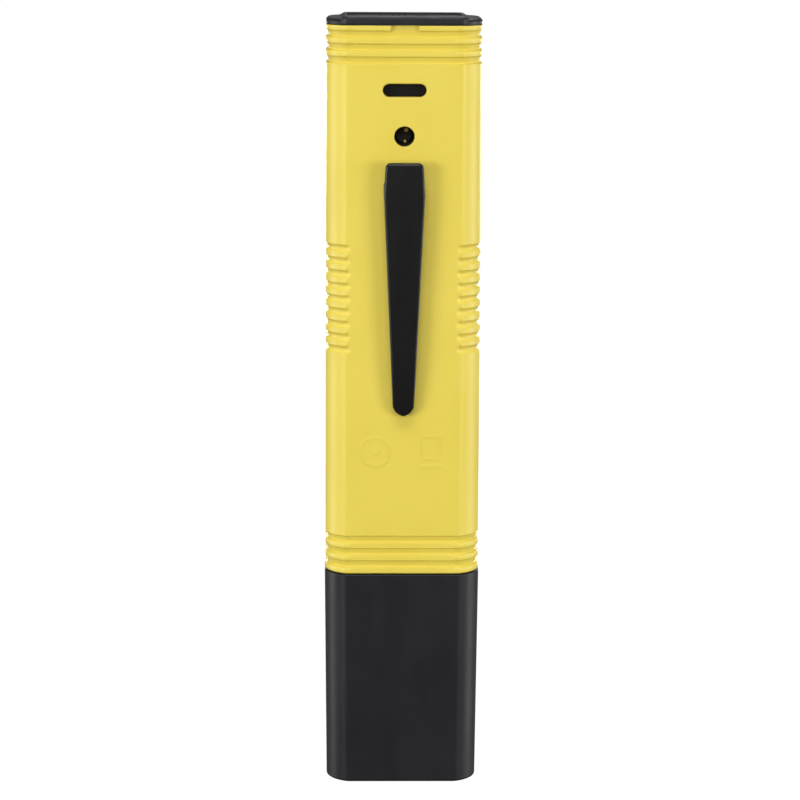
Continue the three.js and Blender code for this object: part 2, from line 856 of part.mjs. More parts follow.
add("protective_cap", protectiveCap(), blackPlastic);
add("electrode_holder", electrodeHolder(), innerPlastic);
add("cap_o_ring", sealingRing(capRingBottom, 1.65), blackRubber);
add("body_o_ring", sealingRing(bodyRingBottom, 1.95), blackRubber);
add("glass_electrode", glassElectrode(), sensorGlass);
add("silver_wire", silverWire(), silver);
add("ceramic_junction", ceramicJunction(), ceramic);
add("sensor_seal", ring(4, 4.85, [36.65, 39.6], alongZ), blackRubber);

add("main_pcb", mainPcb(), greenBoard);
screwPlaces.forEach((place, i) => add(`pcb_screw_${i + 1}`, pcbScrew(place), steel));
add("lcd_holder", lcdHolder(), whitePlastic);
add("lcd_glass", lcdGlass(), displayGlass);
add("zebra_top", zebraStrip(1), blackRubber);
add("zebra_bottom", zebraStrip(-1), blackRubber);
add("chip_blob", chipBlob(), chipEpoxy);
add("amplifier_chip", amplifierChip(), chipEpoxy);
add("crystal", canOnBoard(1, 6, [7, 86]), steel);
add("capacitor_1", canOnBoard(2, 6, [-7, 84]), trimmerBlue);
add("capacitor_2", canOnBoard(2, 6, [-7, 68]), trimmerBlue);
add("trimmer_body", trimmerBody(), trimmerBlue);
add("trimmer_screw", trimmerScrew(), brass);
add("spring_contact_left", springContact(-1), contactMetal);
add("spring_contact_right", springContact(1), contactMetal);
add("lead_signal", wire(signalRoute, leadRadius), redLead);
add("lead_reference", wire(referenceRoute, leadRadius), blackLead);

add("top_cap", topCap(), blackPlastic);
add("battery_tray", batteryTray(), innerPlastic);
for (let i = 0; i < cellCount; i++) {
  add(`cell_${i + 1}`, cell(i), steel);
}
add("contact_left", trayContact(-1), contactMetal);
add("contact_right", trayContact(1), contactMetal);
add("switch_body", switchBody(), innerPlastic);
add("switch_knob", switchKnob(), blackPlastic);

export default meter;
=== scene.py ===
"""A pen-type digital pH meter: fine meshes, materials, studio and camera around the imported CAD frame.

Lengths in this script are millimetres, in the row's own frame, and become metres when a mesh is made.
The back, with the pocket clip, faces -Y. The display faces +Y.
"""

import math

import bmesh
import bpy
from mathutils import Matrix, Vector


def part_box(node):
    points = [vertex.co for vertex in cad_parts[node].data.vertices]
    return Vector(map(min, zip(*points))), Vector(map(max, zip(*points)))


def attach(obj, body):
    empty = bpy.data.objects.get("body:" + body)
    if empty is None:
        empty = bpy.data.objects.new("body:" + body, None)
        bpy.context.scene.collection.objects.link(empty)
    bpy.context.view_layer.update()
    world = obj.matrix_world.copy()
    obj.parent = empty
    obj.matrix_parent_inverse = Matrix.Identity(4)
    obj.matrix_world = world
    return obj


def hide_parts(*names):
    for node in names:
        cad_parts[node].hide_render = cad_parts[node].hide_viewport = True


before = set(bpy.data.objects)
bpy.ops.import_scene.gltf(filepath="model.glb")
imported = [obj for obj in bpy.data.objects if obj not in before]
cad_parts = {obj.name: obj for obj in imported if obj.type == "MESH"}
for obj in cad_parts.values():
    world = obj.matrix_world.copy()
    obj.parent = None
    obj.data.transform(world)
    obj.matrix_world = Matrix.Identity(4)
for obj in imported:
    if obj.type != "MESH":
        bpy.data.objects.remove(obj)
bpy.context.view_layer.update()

MM = 0.001
PAST = 1.0  # how far a cut runs past the face it starts from
FAR_OUT = 20.0  # beyond every face of the object in X and Y
QUARTER = math.pi / 2


class Box:
    """A CAD node's box in millimetres."""

    def __init__(self, node):
        low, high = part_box(node)
        self.low = low / MM
        self.high = high / MM
        self.middle = (self.low + self.high) / 2
        self.half = (self.high - self.low) / 2
        self.x_span, self.y_span, self.z_span = zip(self.low, self.high)


# ---- Driving sizes ----

BACK = Box("rear_shell")
HALF_WIDTH = BACK.high.x
HALF_DEPTH = -BACK.low.y
SEAM = -BACK.high.y  # half the gap between the half shells
BODY_BOTTOM = BACK.low.z
BODY_TOP = BACK.high.z
WALL = 1.8
INNER_FACE = HALF_DEPTH - WALL
FLAT_HALF = 11.1  # half the width of the flat back
SIDE_HALF = 3.0  # half the depth of the straight side
SLIDE_FIT = 0.2  # the gap round a part that slides in
THROUGH = WALL + PAST  # the depth of a cut through the housing's wall

GROOVE_DEPTH = 0.55
GROOVE_PITCH = 2.45
END_GROOVES = 3
GRIP_GROOVES = 9
GRIP_MIDDLE = 96.1
LOWEST_GROOVE = BODY_BOTTOM + 1.9
HIGHEST_GROOVE = BODY_TOP - 1.7

SLOT_MIDDLE = 136.05
SLOT_HALF = (4.15, 1.25)
TRIMMER_HOLE = 1.95
FOOT_MIDDLE = 117.3
NOTCH_X = 0.02
NOTCH_HALF = 2.7
VIEW_HALF = (8.2, 7.4)

ROTOR = Box("trimmer_screw")
LENS = Box("window_lens")
LABEL = Box("front_label")
BOARD = Box("main_pcb")
DISPLAY = Box("lcd_glass")
TRAY = Box("battery_tray")
LID = Box("top_cap")
SWITCH = Box("switch_body")
CELLS = [Box(f"cell_{i}") for i in (1, 2, 3, 4)]
SCREW_PLACES = [(Box(f"pcb_screw_{i}").middle.x, Box(f"pcb_screw_{i}").middle.z) for i in (1, 2, 3)]


# ---- Outlines ----


def turns(count, start=0.0, end=QUARTER):
    """Evenly spaced angles from start to end."""
    return [start + (end - start) * i / count for i in range(count + 1)]


def rounding(count):
    """The steps round an edge of radius 1, as (how far along from its start, how far in from its end)."""
    return [(1 - math.cos(turn), 1 - math.sin(turn)) for turn in turns(count)]


def quarter_outline(inset):
    """One quarter of the pen's section, from the middle of the +X side to the middle of the back.

    The corner is one arc that runs smoothly into the side. It meets the flat back at a slight angle, which
    is softened over a short stretch.
    """
    arc_count = 14
    crease_count = 5
    soft = 0.55
    half_width = HALF_WIDTH - inset
    half_depth = HALF_DEPTH - inset
    flat = FLAT_HALF - inset / 2
    across = half_width - flat
    along = half_depth - SIDE_HALF
    radius = (across**2 + along**2) / (2 * across)
    sweep = math.atan2(along, radius - across)
    centre = half_width - radius
    points = [(half_width, -share * SIDE_HALF) for share in (0.0, 0.35, 0.7)]
    for turn in turns(arc_count, 0, sweep - soft / radius):
        points.append((centre + radius * math.cos(turn), -SIDE_HALF - radius * math.sin(turn)))
    start = points[-1]
    end = (flat - soft, -half_depth)
    points += soft_corner(start, (flat, -half_depth), end, crease_count)
    points += [(share * end[0], -half_depth) for share in (0.96, 0.9, 0.75, 0.5, 0.25, 0.0)]
    return points


def soft_corner(start, corner, end, count):
    """The points of a smooth bend from start to end, drawn towards the corner. Start isn't among them."""
    made = []
    for i in range(1, count + 1):
        t = i / count
        shares = ((1 - t) ** 2, 2 * t * (1 - t), t**2)
        made.append(tuple(sum(s * c for s, c in zip(shares, cs)) for cs in zip(start, corner, end)))
    return made


def back_outline(inset):
    """The back half of the section, from the -X side round to the +X side, anticlockwise from above."""
    right = quarter_outline(inset)
    return [(-x, y) for x, y in right] + right[-2::-1]


def full_outline(inset):
    """The whole section, anticlockwise from above."""
    back = back_outline(inset)
    return back[:-1] + [(-x, -y) for x, y in back[:-1]]


def rounded_rectangle(half_width, half_height, radius, middle=(0.0, 0.0), count=6):
    """Anticlockwise, starting at the lower right corner's arc."""
    points = []
    for k, (sx, sy) in enumerate(((1, -1), (1, 1), (-1, 1), (-1, -1))):
        cx = middle[0] + sx * (half_width - radius)
        cy = middle[1] + sy * (half_height - radius)
        for turn in turns(count, (k - 1) * QUARTER, k * QUARTER):
            points.append((cx + radius * math.cos(turn), cy + radius * math.sin(turn)))
    return points


def circle(radius, middle=(0.0, 0.0), count=64):
    steps = [2 * math.pi * i / count for i in range(count)]
    return [(middle[0] + radius * math.cos(t), middle[1] + radius * math.sin(t)) for t in steps]


def inset_outline(outline, inset):
    """An anticlockwise outline with each point moved inwards by that much."""
    if not inset:
        return list(outline)
    made = []
    for i, here in enumerate(outline):
        a = (Vector(here) - Vector(outline[i - 1])).normalized()
        b = (Vector(outline[(i + 1) % len(outline)]) - Vector(here)).normalized()
        along = (a + b).normalized()
        made.append((here[0] - along.y * inset, here[1] + along.x * inset))
    return made


def rounded_profile(points, radius, count=4):
    """The same open profile with its inner corners rounded."""
    made = [points[0]]
    for before, here, after in zip(points, points[1:], points[2:]):
        p, a, b = Vector(here), Vector(before), Vector(after)
        reach = min(radius, (a - p).length / 2, (b - p).length / 2)
        start = tuple(p + (a - p).normalized() * reach)
        end = tuple(p + (b - p).normalized() * reach)
        made += [start, *soft_corner(start, here, end, count)]
    made.append(points[-1])
    return made


# ---- Meshes ----


def make_object(name, verts, faces):
    mesh = bpy.data.meshes.new(name)
    mesh.from_pydata([(x * MM, y * MM, z * MM) for x, y, z in verts], [], faces)
    shape = bmesh.new()
    shape.from_mesh(mesh)
    bmesh.ops.remove_doubles(shape, verts=shape.verts, dist=1e-7)
    shape.to_mesh(mesh)
    shape.free()
    return in_scene(name, mesh)


def loft(name, rings, closed_loop=False):
    """A skin over rings of equal length. Rings run anticlockwise seen from where the stack is going.

    The first and last ring are filled, or joined to each other in a closed loop.
    """
    count = len(rings[0])
    last = len(rings) - 1
    pairs = [(i * count, (i + 1) * count) for i in range(last)]
    if closed_loop:
        pairs.append((last * count, 0))
    faces = []
    for low, high in pairs:
        for j in range(count):
            k = (j + 1) % count
            faces.append((low + j, low + k, high + k, high + j))
    if not closed_loop:
        faces.append(tuple(reversed(range(count))))
        faces.append(tuple(range(last * count, (last + 1) * count)))
    return make_object(name, [p for ring in rings for p in ring], faces)


def turned(name, profile, middle=(0.0, 0.0, 0.0), axis="Z", count=64, closed_loop=False):
    """A profile of (radius, distance) points turned about an axis."""
    obj = loft(name, [[(x, y, z) for x, y in circle(r, count=count)] for r, z in profile], closed_loop)
    turn = {
        "X": Matrix.Rotation(QUARTER, 4, "Y"),
        "Y": Matrix.Rotation(-QUARTER, 4, "X"),
        "Z": Matrix.Identity(4),
    }
    obj.data.transform(Matrix.Translation(Vector(middle) * MM) @ turn[axis])
    return obj


def rod(name, radius, span, middle=(0.0, 0.0, 0.0), axis="Z", edge=0.0, count=64):
    profile = [(0.0, span[0]), (radius, span[0]), (radius, span[1]), (0.0, span[1])]
    if edge:
        profile = rounded_profile(profile, edge)
    return turned(name, profile, middle, axis, count)


def slab(name, outline, plane, span, edge=0.0):
    """An outline extruded between two distances, with rounded edges.

    plane names the two axes that the outline is drawn in.
    """
    low, high = span
    profile = [(low, 0.0), (high, 0.0)]
    if edge:
        bottom = [(low + edge * along, edge * inwards) for along, inwards in rounding(4)]
        profile = bottom + [(low + high - at, inset) for at, inset in reversed(bottom)]
    rings = []
    for at, inset in profile:
        rings.append([in_plane(point, at, plane) for point in inset_outline(outline, inset)])
    obj = loft(name, rings)
    if plane == "XZ":
        obj.data.flip_normals()
    return obj


def panel(name, half, corner, middle, plane, span, edge=0.0):
    """A slab with a rounded rectangle's outline."""
    return slab(name, rounded_rectangle(*half, corner, middle), plane, span, edge)


def in_plane(point, at, plane):
    if plane == "XY":
        return (point[0], point[1], at)
    if plane == "XZ":
        return (point[0], at, point[1])
    return (at, point[0], point[1])


def block(name, low, high, edge=0.0, corner=0.0):
    """A box drawn in X and Z, with rounded corners there and rounded edges."""
    half_width = (high[0] - low[0]) / 2
    half_height = (high[2] - low[2]) / 2
    middle = ((high[0] + low[0]) / 2, (high[2] + low[2]) / 2)
    half = (half_width, half_height)
    return panel(name, half, max(corner, edge, 0.01), middle, "XZ", (low[1], high[1]), edge)


def cable(name, points, radius):
    """A round wire along a smooth line through the points."""
    line = bpy.data.curves.new(name, "CURVE")
    line.dimensions = "3D"
    line.bevel_depth = radius * MM
    line.bevel_resolution = 6
    line.use_fill_caps = True
    spline = line.splines.new("BEZIER")
    spline.bezier_points.add(len(points) - 1)
    for place, point in zip(spline.bezier_points, points):
        place.co = Vector(point) * MM
        place.handle_left_type = "AUTO"
        place.handle_right_type = "AUTO"
    return as_mesh(in_scene(name, line))


def in_scene(name, data):
    """A new object with that data, in the scene."""
    obj = bpy.data.objects.new(name, data)
    bpy.context.scene.collection.objects.link(obj)
    return obj


def as_mesh(obj):
    """The curve or text as a mesh object, in its place."""
    bpy.context.view_layer.update()
    graph = bpy.context.evaluated_depsgraph_get()
    mesh = bpy.data.meshes.new_from_object(obj.evaluated_get(graph))
    mesh.transform(obj.matrix_world)
    name = obj.name
    bpy.data.objects.remove(obj)
    return in_scene(name, mesh)


def apply_modifiers(obj):
    bpy.context.view_layer.update()
    graph = bpy.context.evaluated_depsgraph_get()
    made = bpy.data.meshes.new_from_object(obj.evaluated_get(graph))
    old = obj.data
    obj.modifiers.clear()
    obj.data = made
    bpy.data.meshes.remove(old)
    return obj


def combine(obj, others, operation):
    """Joins the others to the object, or cuts them out of it. The others are used up."""
    for other in others:
        step = obj.modifiers.new(operation, "BOOLEAN")
        step.operation = operation
        step.solver = "EXACT"
        step.object = other
    apply_modifiers(obj)
    for other in others:
        bpy.data.objects.remove(other)
    return obj


def cut(obj, *cutters):
    return combine(obj, cutters, "DIFFERENCE")


def join(obj, *pieces):
    return combine(obj, pieces, "UNION")


def smooth(obj, angle):
    """Shades the piece smooth, with edges sharper than the angle left sharp."""
    shape = bmesh.new()
    shape.from_mesh(obj.data)
    bmesh.ops.remove_doubles(shape, verts=shape.verts, dist=1e-7)
    bmesh.ops.dissolve_degenerate(shape, edges=shape.edges, dist=1e-8)
    for face in shape.faces:
        face.smooth = True
    for edge in shape.edges:
        edge.smooth = len(edge.link_faces) == 2 and edge.calc_face_angle(0) < math.radians(angle)
    shape.to_mesh(obj.data)
    shape.free()
    weighted = obj.modifiers.new("normals", "WEIGHTED_NORMAL")
    weighted.keep_sharp = True
    weighted.weight = 100


def soften(obj, width):
    """Rounds the piece's sharp edges."""
    bevel = obj.modifiers.new("edges", "BEVEL")
    bevel.width = width * MM
    bevel.segments = 3
    bevel.limit_method = "ANGLE"
    bevel.angle_limit = math.radians(32.0)
    return apply_modifiers(obj)


def opening(outline_at, surface, depth, edge, outwards):
    """A cutter through a flat face in X and Z, which leaves the hole with a rounded rim.

    outline_at(offset) gives the hole's outline that much larger. surface is the face's Y, outwards is the
    Y direction that the face looks in, and depth is how far in the cut goes.
    """
    steps = 5
    first_turn = 0.06
    profile = [(-edge - PAST, edge)]
    for turn in turns(steps, first_turn):
        profile.append((edge * (1 - math.cos(turn)), edge * (1 - math.sin(turn))))
    profile.append((depth, 0.0))
    rings = [[(x, surface - outwards * inwards, z) for x, z in outline_at(o)] for inwards, o in profile]
    obj = loft("cutter", rings)
    if outwards < 0:
        obj.data.flip_normals()
    return obj


def rounded_opening(half, corner, middle_z, surface, depth, edge, outwards):
    def outline_at(offset):
        return rounded_rectangle(half[0] + offset, half[1] + offset, corner + offset, (0, middle_z), 10)

    return opening(outline_at, surface, depth, edge, outwards)


def finished(obj, made, slot, *nodes, body="housing", angle=38):
    """Gives a piece its material, the CAD nodes it stands for and the body it moves with.

    It's also shaded smooth between edges sharper than the angle, unless the angle is 0. The slot is not used.
    """
    if angle:
        smooth(obj, angle)
    obj.data.materials.clear()
    obj.data.materials.append(made)
    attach(obj, body)
    if nodes:
        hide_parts(*nodes)


# ---- Materials ----


def material(name, color, roughness, **inputs):
    """A Principled material. The functions below add its nodes."""
    made = bpy.data.materials.new(name)
    made.use_nodes = True
    shader = principled(made)
    shader.inputs["Base Color"].default_value = (*color, 1)
    shader.inputs["Roughness"].default_value = roughness
    for socket, value in inputs.items():
        shader.inputs[socket.replace("_", " ")].default_value = value
    return made


def principled(made):
    return made.node_tree.nodes["Principled BSDF"]


def link(made, source, target):
    made.node_tree.links.new(source, target)


def new_node(made, kind, source=None, **inputs):
    """A node with those inputs set, and the source linked to its first one if there is one."""
    item = made.node_tree.nodes.new(kind)
    for socket, value in inputs.items():
        item.inputs[socket.replace("_", " ")].default_value = value
    if source:
        link(made, source, item.inputs[0])
    return item


def object_place(made, stretch=(1, 1, 1)):
    """The surface point's own place in metres, which moves with the piece."""
    place = new_node(made, "ShaderNodeTexCoord").outputs["Object"]
    if stretch == (1, 1, 1):
        return place
    return new_node(made, "ShaderNodeMapping", place, Scale=stretch).outputs["Vector"]


def noise(made, scale, detail=3.0, stretch=(1, 1, 1)):
    item = new_node(made, "ShaderNodeTexNoise", object_place(made, stretch), Scale=scale, Detail=detail)
    return item.outputs["Fac"]


def stripes(made, scale):
    """Waves across X."""
    item = new_node(made, "ShaderNodeTexWave", object_place(made), Scale=scale)
    item.bands_direction = "X"
    return item.outputs["Fac"]


def remap(made, source, low, high, source_span=(0.35, 0.65)):
    item = new_node(
        made,
        "ShaderNodeMapRange",
        source,
        From_Min=source_span[0],
        From_Max=source_span[1],
        To_Min=low,
        To_Max=high,
    )
    return item.outputs["Result"]


def mix_colors(made, share, first, second):
    """A colour between the two. Each is a colour, or another node's output."""
    mix = made.node_tree.nodes.new("ShaderNodeMix")
    mix.data_type = "RGBA"
    factor = mix.inputs[0]
    pair = [socket for socket in mix.inputs if socket.type == "RGBA"]
    link(made, share, factor)
    for socket, color in zip(pair, (first, second)):
        if isinstance(color, tuple):
            socket.default_value = (*color, 1)
        else:
            link(made, color, socket)
    return next(socket for socket in mix.outputs if socket.type == "RGBA")


def use_color(made, color):
    link(made, color, principled(made).inputs["Base Color"])


def mottle(made, scale, detail, *colors):
    """Two colours that drift into each other."""
    use_color(made, mix_colors(made, remap(made, noise(made, scale, detail), 0, 1), *colors))


def vary_roughness(made, source, low, high):
    link(made, remap(made, source, low, high), principled(made).inputs["Roughness"])


def bump(made, source, depth, strength=0.4):
    item = new_node(made, "ShaderNodeBump", Strength=strength, Distance=depth * MM)
    link(made, source, item.inputs["Height"])
    link(made, item.outputs["Normal"], principled(made).inputs["Normal"])


def moulded(name, colors, roughness, grain=0.012, grain_scale=2600.0, **inputs):
    """Injection-moulded plastic: drifting colour and gloss, and a fine spark-eroded grain."""
    made = material(name, colors[0], roughness[0], **inputs)
    mottle(made, 60.0, 3.0, *colors)
    vary_roughness(made, noise(made, 260.0, 5.0, (1, 1, 0.25)), *roughness)
    bump(made, noise(made, grain_scale, 2.0), grain)
    return made


def metal(name, colors, roughness, brushed=(1, 1, 1)):
    """Plated or bare metal: a faint tarnish, and fine marks drawn out along one axis."""
    made = material(name, colors[0], roughness[0], Metallic=1.0)
    mottle(made, 300.0, 6.0, *colors)
    marks = noise(made, 2200.0, 3.0, brushed)
    vary_roughness(made, marks, *roughness)
    bump(made, marks, 0.004, 0.3)
    return made


def clear(name, color, ior, roughness, haze_scale):
    """Glass or clear plastic, with a little haze here and there."""
    made = material(name, color, roughness[0], IOR=ior, Transmission_Weight=1.0)
    vary_roughness(made, noise(made, haze_scale, 4.0), *roughness)
    mottle(made, 90.0, 3.0, color, tuple(0.97 * c for c in color))
    return made


def rubber(name, color):
    made = material(name, color, 0.6, Specular_IOR_Level=0.35, Sheen_Weight=0.15)
    mottle(made, 900.0, 5.0, color, tuple(1.6 * c + 0.004 for c in color))
    vary_roughness(made, noise(made, 500.0), 0.5, 0.7)
    bump(made, noise(made, 3500.0), 0.01)
    return made


def layered_rubber():
    """A display connector: thin conducting layers between insulating ones."""
    made = material("zebra_rubber", (0.03, 0.03, 0.032), 0.6)
    layers = remap(made, stripes(made, 700.0), 0, 1, (0.45, 0.55))
    use_color(made, mix_colors(made, layers, (0.02, 0.02, 0.022), (0.42, 0.24, 0.22)))
    bump(made, noise(made, 3000.0), 0.008)
    return made


def circuit_board():
    """Green solder mask over copper tracks, which run up the board in steps."""
    made = material("solder_mask", (0.012, 0.09, 0.035), 0.3, Specular_IOR_Level=0.5)
    tracks = new_node(made, "ShaderNodeTexBrick", object_place(made), Scale=1.0)
    tracks.offset = 0.37
    for socket, value in (("Mortar Size", 0.00022), ("Brick Width", 0.0061), ("Row Height", 0.0023)):
        tracks.inputs[socket].default_value = value
    mapping = new_node(made, "ShaderNodeMapping", object_place(made), Rotation=(QUARTER, 0, 0))
    link(made, mapping.outputs["Vector"], tracks.inputs["Vector"])
    use_color(made, mix_colors(made, tracks.outputs["Fac"], (0.010, 0.075, 0.030), (0.030, 0.170, 0.060)))
    vary_roughness(made, noise(made, 700.0), 0.26, 0.36)
    bump(made, tracks.outputs["Fac"], 0.03, 0.5)
    return made


def printed_film(name, color, **inputs):
    """A thin printed layer, with a little unevenness in its ink."""
    made = material(name, color, 0.34, **inputs)
    mottle(made, 1500.0, 4.0, color, tuple(1.12 * c + 0.001 for c in color))
    vary_roughness(made, noise(made, 800.0), 0.30, 0.42)
    bump(made, noise(made, 5000.0), 0.003)
    return made


def ceramic():
    made = material("porous_ceramic", (0.78, 0.74, 0.66), 0.85)
    mottle(made, 4000.0, 3.0, (0.80, 0.77, 0.70), (0.66, 0.62, 0.54))
    bump(made, noise(made, 6000.0), 0.02, 0.8)
    return made


YELLOW = moulded(
    "yellow_plastic",
    ((0.735, 0.590, 0.078), (0.760, 0.615, 0.090)),
    (0.36, 0.46),
    Specular_IOR_Level=0.40,
    Subsurface_Weight=0.06,
    Subsurface_Scale=0.001,
)
BLACK = moulded(
    "black_plastic",
    ((0.0078, 0.0074, 0.0100), (0.0100, 0.0098, 0.0124)),
    (0.40, 0.48),
    Specular_IOR_Level=0.34,
)
CLIP_BLACK = moulded(
    "clip_plastic",
    ((0.0036, 0.0040, 0.0036), (0.0050, 0.0054, 0.0050)),
    (0.27, 0.34),
    Specular_IOR_Level=0.35,
)
# Dark inner plastic, darkened past its own tone as painted shade for the tray seen deep through the slot in
# the back.
INNER_PLASTIC_AND_SHADE = moulded(
    "inner_plastic",
    ((0.0050, 0.0042, 0.0034), (0.0072, 0.0062, 0.0050)),
    (0.50, 0.62),
    0.02,
    Specular_IOR_Level=0.15,
)
WHITE = moulded("white_plastic", ((0.70, 0.70, 0.66), (0.66, 0.66, 0.61)), (0.45, 0.55))
FILM = printed_film("label_film", (0.020, 0.024, 0.032))
MASK = printed_film("window_print", (0.012, 0.013, 0.015))
ACRYLIC = clear("acrylic", (0.96, 0.98, 0.98), 1.49, (0.01, 0.06), 400.0)
SENSOR_GLASS = clear("sensor_glass", (0.93, 0.98, 0.97), 1.47, (0.0, 0.03), 300.0)
DISPLAY_GREY = printed_film("display_glass", (0.300, 0.345, 0.255), Coat_Weight=0.6, Coat_Roughness=0.08)
SEGMENT_GREY = printed_film("display_segment", (0.030, 0.034, 0.028), Coat_Weight=0.6, Coat_Roughness=0.08)
CERAMIC = ceramic()
RUBBER = rubber("seal_rubber", (0.012, 0.012, 0.013))
ZEBRA = layered_rubber()
SOLDER_MASK = circuit_board()
EPOXY = moulded("chip_epoxy", ((0.008, 0.008, 0.009), (0.013, 0.013, 0.014)), (0.25, 0.42), 0.02, 1800.0)
BLUE = moulded("component_sleeve", ((0.020, 0.075, 0.230), (0.026, 0.090, 0.260)), (0.32, 0.42))
# Near-black green for the trimmer: partly its own colour, partly painted shade for the deep hole in the
# housing.
TRIMMER_DARK_AND_SHADE = moulded("trimmer_plastic_and_shade", ((0.009, 0.010, 0.003), (0.013, 0.014, 0.005)), (0.55, 0.65))
BRASS = metal("brass", ((0.62, 0.41, 0.13), (0.50, 0.31, 0.09)), (0.24, 0.42))
STEEL = metal("nickel_steel", ((0.56, 0.56, 0.55), (0.47, 0.47, 0.46)), (0.20, 0.36), (1, 12, 12))
TIN = metal("tinned_bronze", ((0.66, 0.63, 0.56), (0.55, 0.51, 0.43)), (0.28, 0.44), (1, 1, 8))
SILVER = metal("silver", ((0.62, 0.61, 0.58), (0.30, 0.28, 0.27)), (0.25, 0.5))
RED_LEAD = moulded("red_insulation", ((0.34, 0.018, 0.012), (0.40, 0.026, 0.018)), (0.40, 0.52))
BLACK_LEAD = moulded("black_insulation", ((0.010, 0.010, 0.011), (0.015, 0.015, 0.016)), (0.40, 0.52))
INK_WHITE = printed_film("white_ink", (0.72, 0.72, 0.70))


# ---- Housing ----


def end_groove_rows(middle):
    """(height, depth) up across a groove whose floor leans in towards its lower edge. Both edges are soft."""
    half = 0.80
    lower_ramp = 0.38
    upper_ramp = 0.28
    upper_depth = 0.62 * GROOVE_DEPTH
    steps = 6
    ramp = [(i / steps, eased(i / steps)) for i in range(steps + 1)]
    rows = [(middle - half + lower_ramp * a, GROOVE_DEPTH * b) for a, b in ramp]
    return rows + [(middle + half - upper_ramp * (1 - a), upper_depth * (1 - b)) for a, b in ramp]


def eased(share):
    """The share, from 0 to 1, with a soft start and a soft end."""
    return share * share * (3 - 2 * share)


def grip_groove_rows(middle):
    """(height, depth) up across a scallop that meets the face at an edge."""
    half = 0.75
    deepest = 0.8 * GROOVE_DEPTH
    steps = 12
    shares = [2 * i / steps - 1 for i in range(steps + 1)]
    return [(middle + share * half, deepest * (1 - share**2) ** 1.2) for share in shares]


def housing_rows():
    """(height, depth all round, depth at the grips only) for each level of the housing's outside."""
    low_rounding = 0.3
    top_rounding = 0.15
    rim = rounding(3)
    rows = [(BODY_BOTTOM + low_rounding * up, low_rounding * depth, 0.0) for up, depth in rim]
    for i in range(END_GROOVES):
        rows += [(z, depth, 0.0) for z, depth in end_groove_rows(LOWEST_GROOVE + i * GROOVE_PITCH)]
    for i in range(GRIP_GROOVES):
        middle = GRIP_MIDDLE + (i - (GRIP_GROOVES - 1) / 2) * GROOVE_PITCH
        rows += [(z, 0.0, depth) for z, depth in grip_groove_rows(middle)]
    for i in reversed(range(END_GROOVES)):
        rows += [(z, depth, 0.0) for z, depth in end_groove_rows(HIGHEST_GROOVE - i * GROOVE_PITCH)]
    return rows + [(BODY_TOP - top_rounding * up, top_rounding * depth, 0.0) for up, depth in reversed(rim)]


def grip_share(x):
    """How much of a grip groove's depth is cut at that x: all of it at the corners, none on the flats."""
    run_out = 0.8
    share = (abs(x) - FLAT_HALF) / run_out + 1
    return eased(max(0.0, min(1.0, share)))


def seam_edge(side, half_width):
    """Points that round a half shell's outer edge, from its seam face out to its side face."""
    edge = 0.14
    return [(side * (half_width - edge * inwards), -SEAM - edge * along) for along, inwards in rounding(3)]


def half_shell(name, facing):
    """One half of the housing as a plain closed shell. Facing is -1 for the back half and 1 for the front."""
    outer = back_outline(0)[1:-1]
    deep = back_outline(GROOVE_DEPTH)[1:-1]
    inner = [(x, min(y, -SEAM)) for x, y in reversed(back_outline(WALL))]
    rings = []
    for z, depth, grip in housing_rows():
        ring = seam_edge(-1, HALF_WIDTH - max(depth, grip))
        for p, q in zip(outer, deep):
            share = max(depth, grip * grip_share(p[0])) / GROOVE_DEPTH
            ring.append((p[0] + (q[0] - p[0]) * share, p[1] + (q[1] - p[1]) * share))
        ring += seam_edge(1, HALF_WIDTH - max(depth, grip))[::-1] + inner
        ring = [(x, -facing * y, z) for x, y in ring]
        rings.append(ring if facing < 0 else ring[::-1])
    return loft(name, rings)


def rear_shell():
    """The back half, with the slot, the trimmer hole, the clip's window and the notch in its rim."""
    notch_depth = 0.8
    notch_height = 1.2
    back = -HALF_DEPTH
    obj = half_shell("rear_shell_fine", -1)
    slot = rounded_opening(SLOT_HALF, SLOT_HALF[1] - 0.001, SLOT_MIDDLE, back, THROUGH, 0.28, -1)
    hole = opening(lambda o: circle(TRIMMER_HOLE + o, (0, ROTOR.middle.z)), back, THROUGH, 0.16, -1)
    window = rounded_opening((2.75, 1.65), 0.4, FOOT_MIDDLE, back, THROUGH, 0.1, -1)
    low = (NOTCH_X - NOTCH_HALF, back - PAST, BODY_TOP - notch_height)
    high = (NOTCH_X + NOTCH_HALF, back + notch_depth, BODY_TOP + PAST)
    cut(obj, slot, hole, window, block("cutter", low, high))
    finished(obj, YELLOW, "housing", "rear_shell")


def front_shell():
    """The front half, with seats for the window and the label, and a boss for each of the board's screws."""
    boss_radius = 2.1
    pilot_radius = 0.9
    lens_depth = HALF_DEPTH - LENS.low.y + 0.1
    label_depth = HALF_DEPTH - LABEL.low.y + 0.05
    obj = half_shell("front_shell_fine", 1)
    for insert, depth in ((LENS, lens_depth), (LABEL, label_depth)):
        half = (insert.half.x + SLIDE_FIT, insert.half.z + SLIDE_FIT)
        cut(obj, rounded_opening(half, 1.2, insert.middle.z, HALF_DEPTH, depth, 0.12, 1))
    cut(obj, rounded_opening(VIEW_HALF, 0.8, LENS.middle.z, HALF_DEPTH - lens_depth, THROUGH, 0.1, 1))
    for x, z in SCREW_PLACES:
        boss_span = (BOARD.high.y + 0.2, INNER_FACE + 0.2)
        join(obj, rod("boss", boss_radius, boss_span, (x, 0, z), "Y", count=40))
        cut(obj, rod("pilot", pilot_radius, (BOARD.high.y, INNER_FACE - 0.2), (x, 0, z), "Y", count=24))
    finished(obj, YELLOW, "housing", "front_shell")


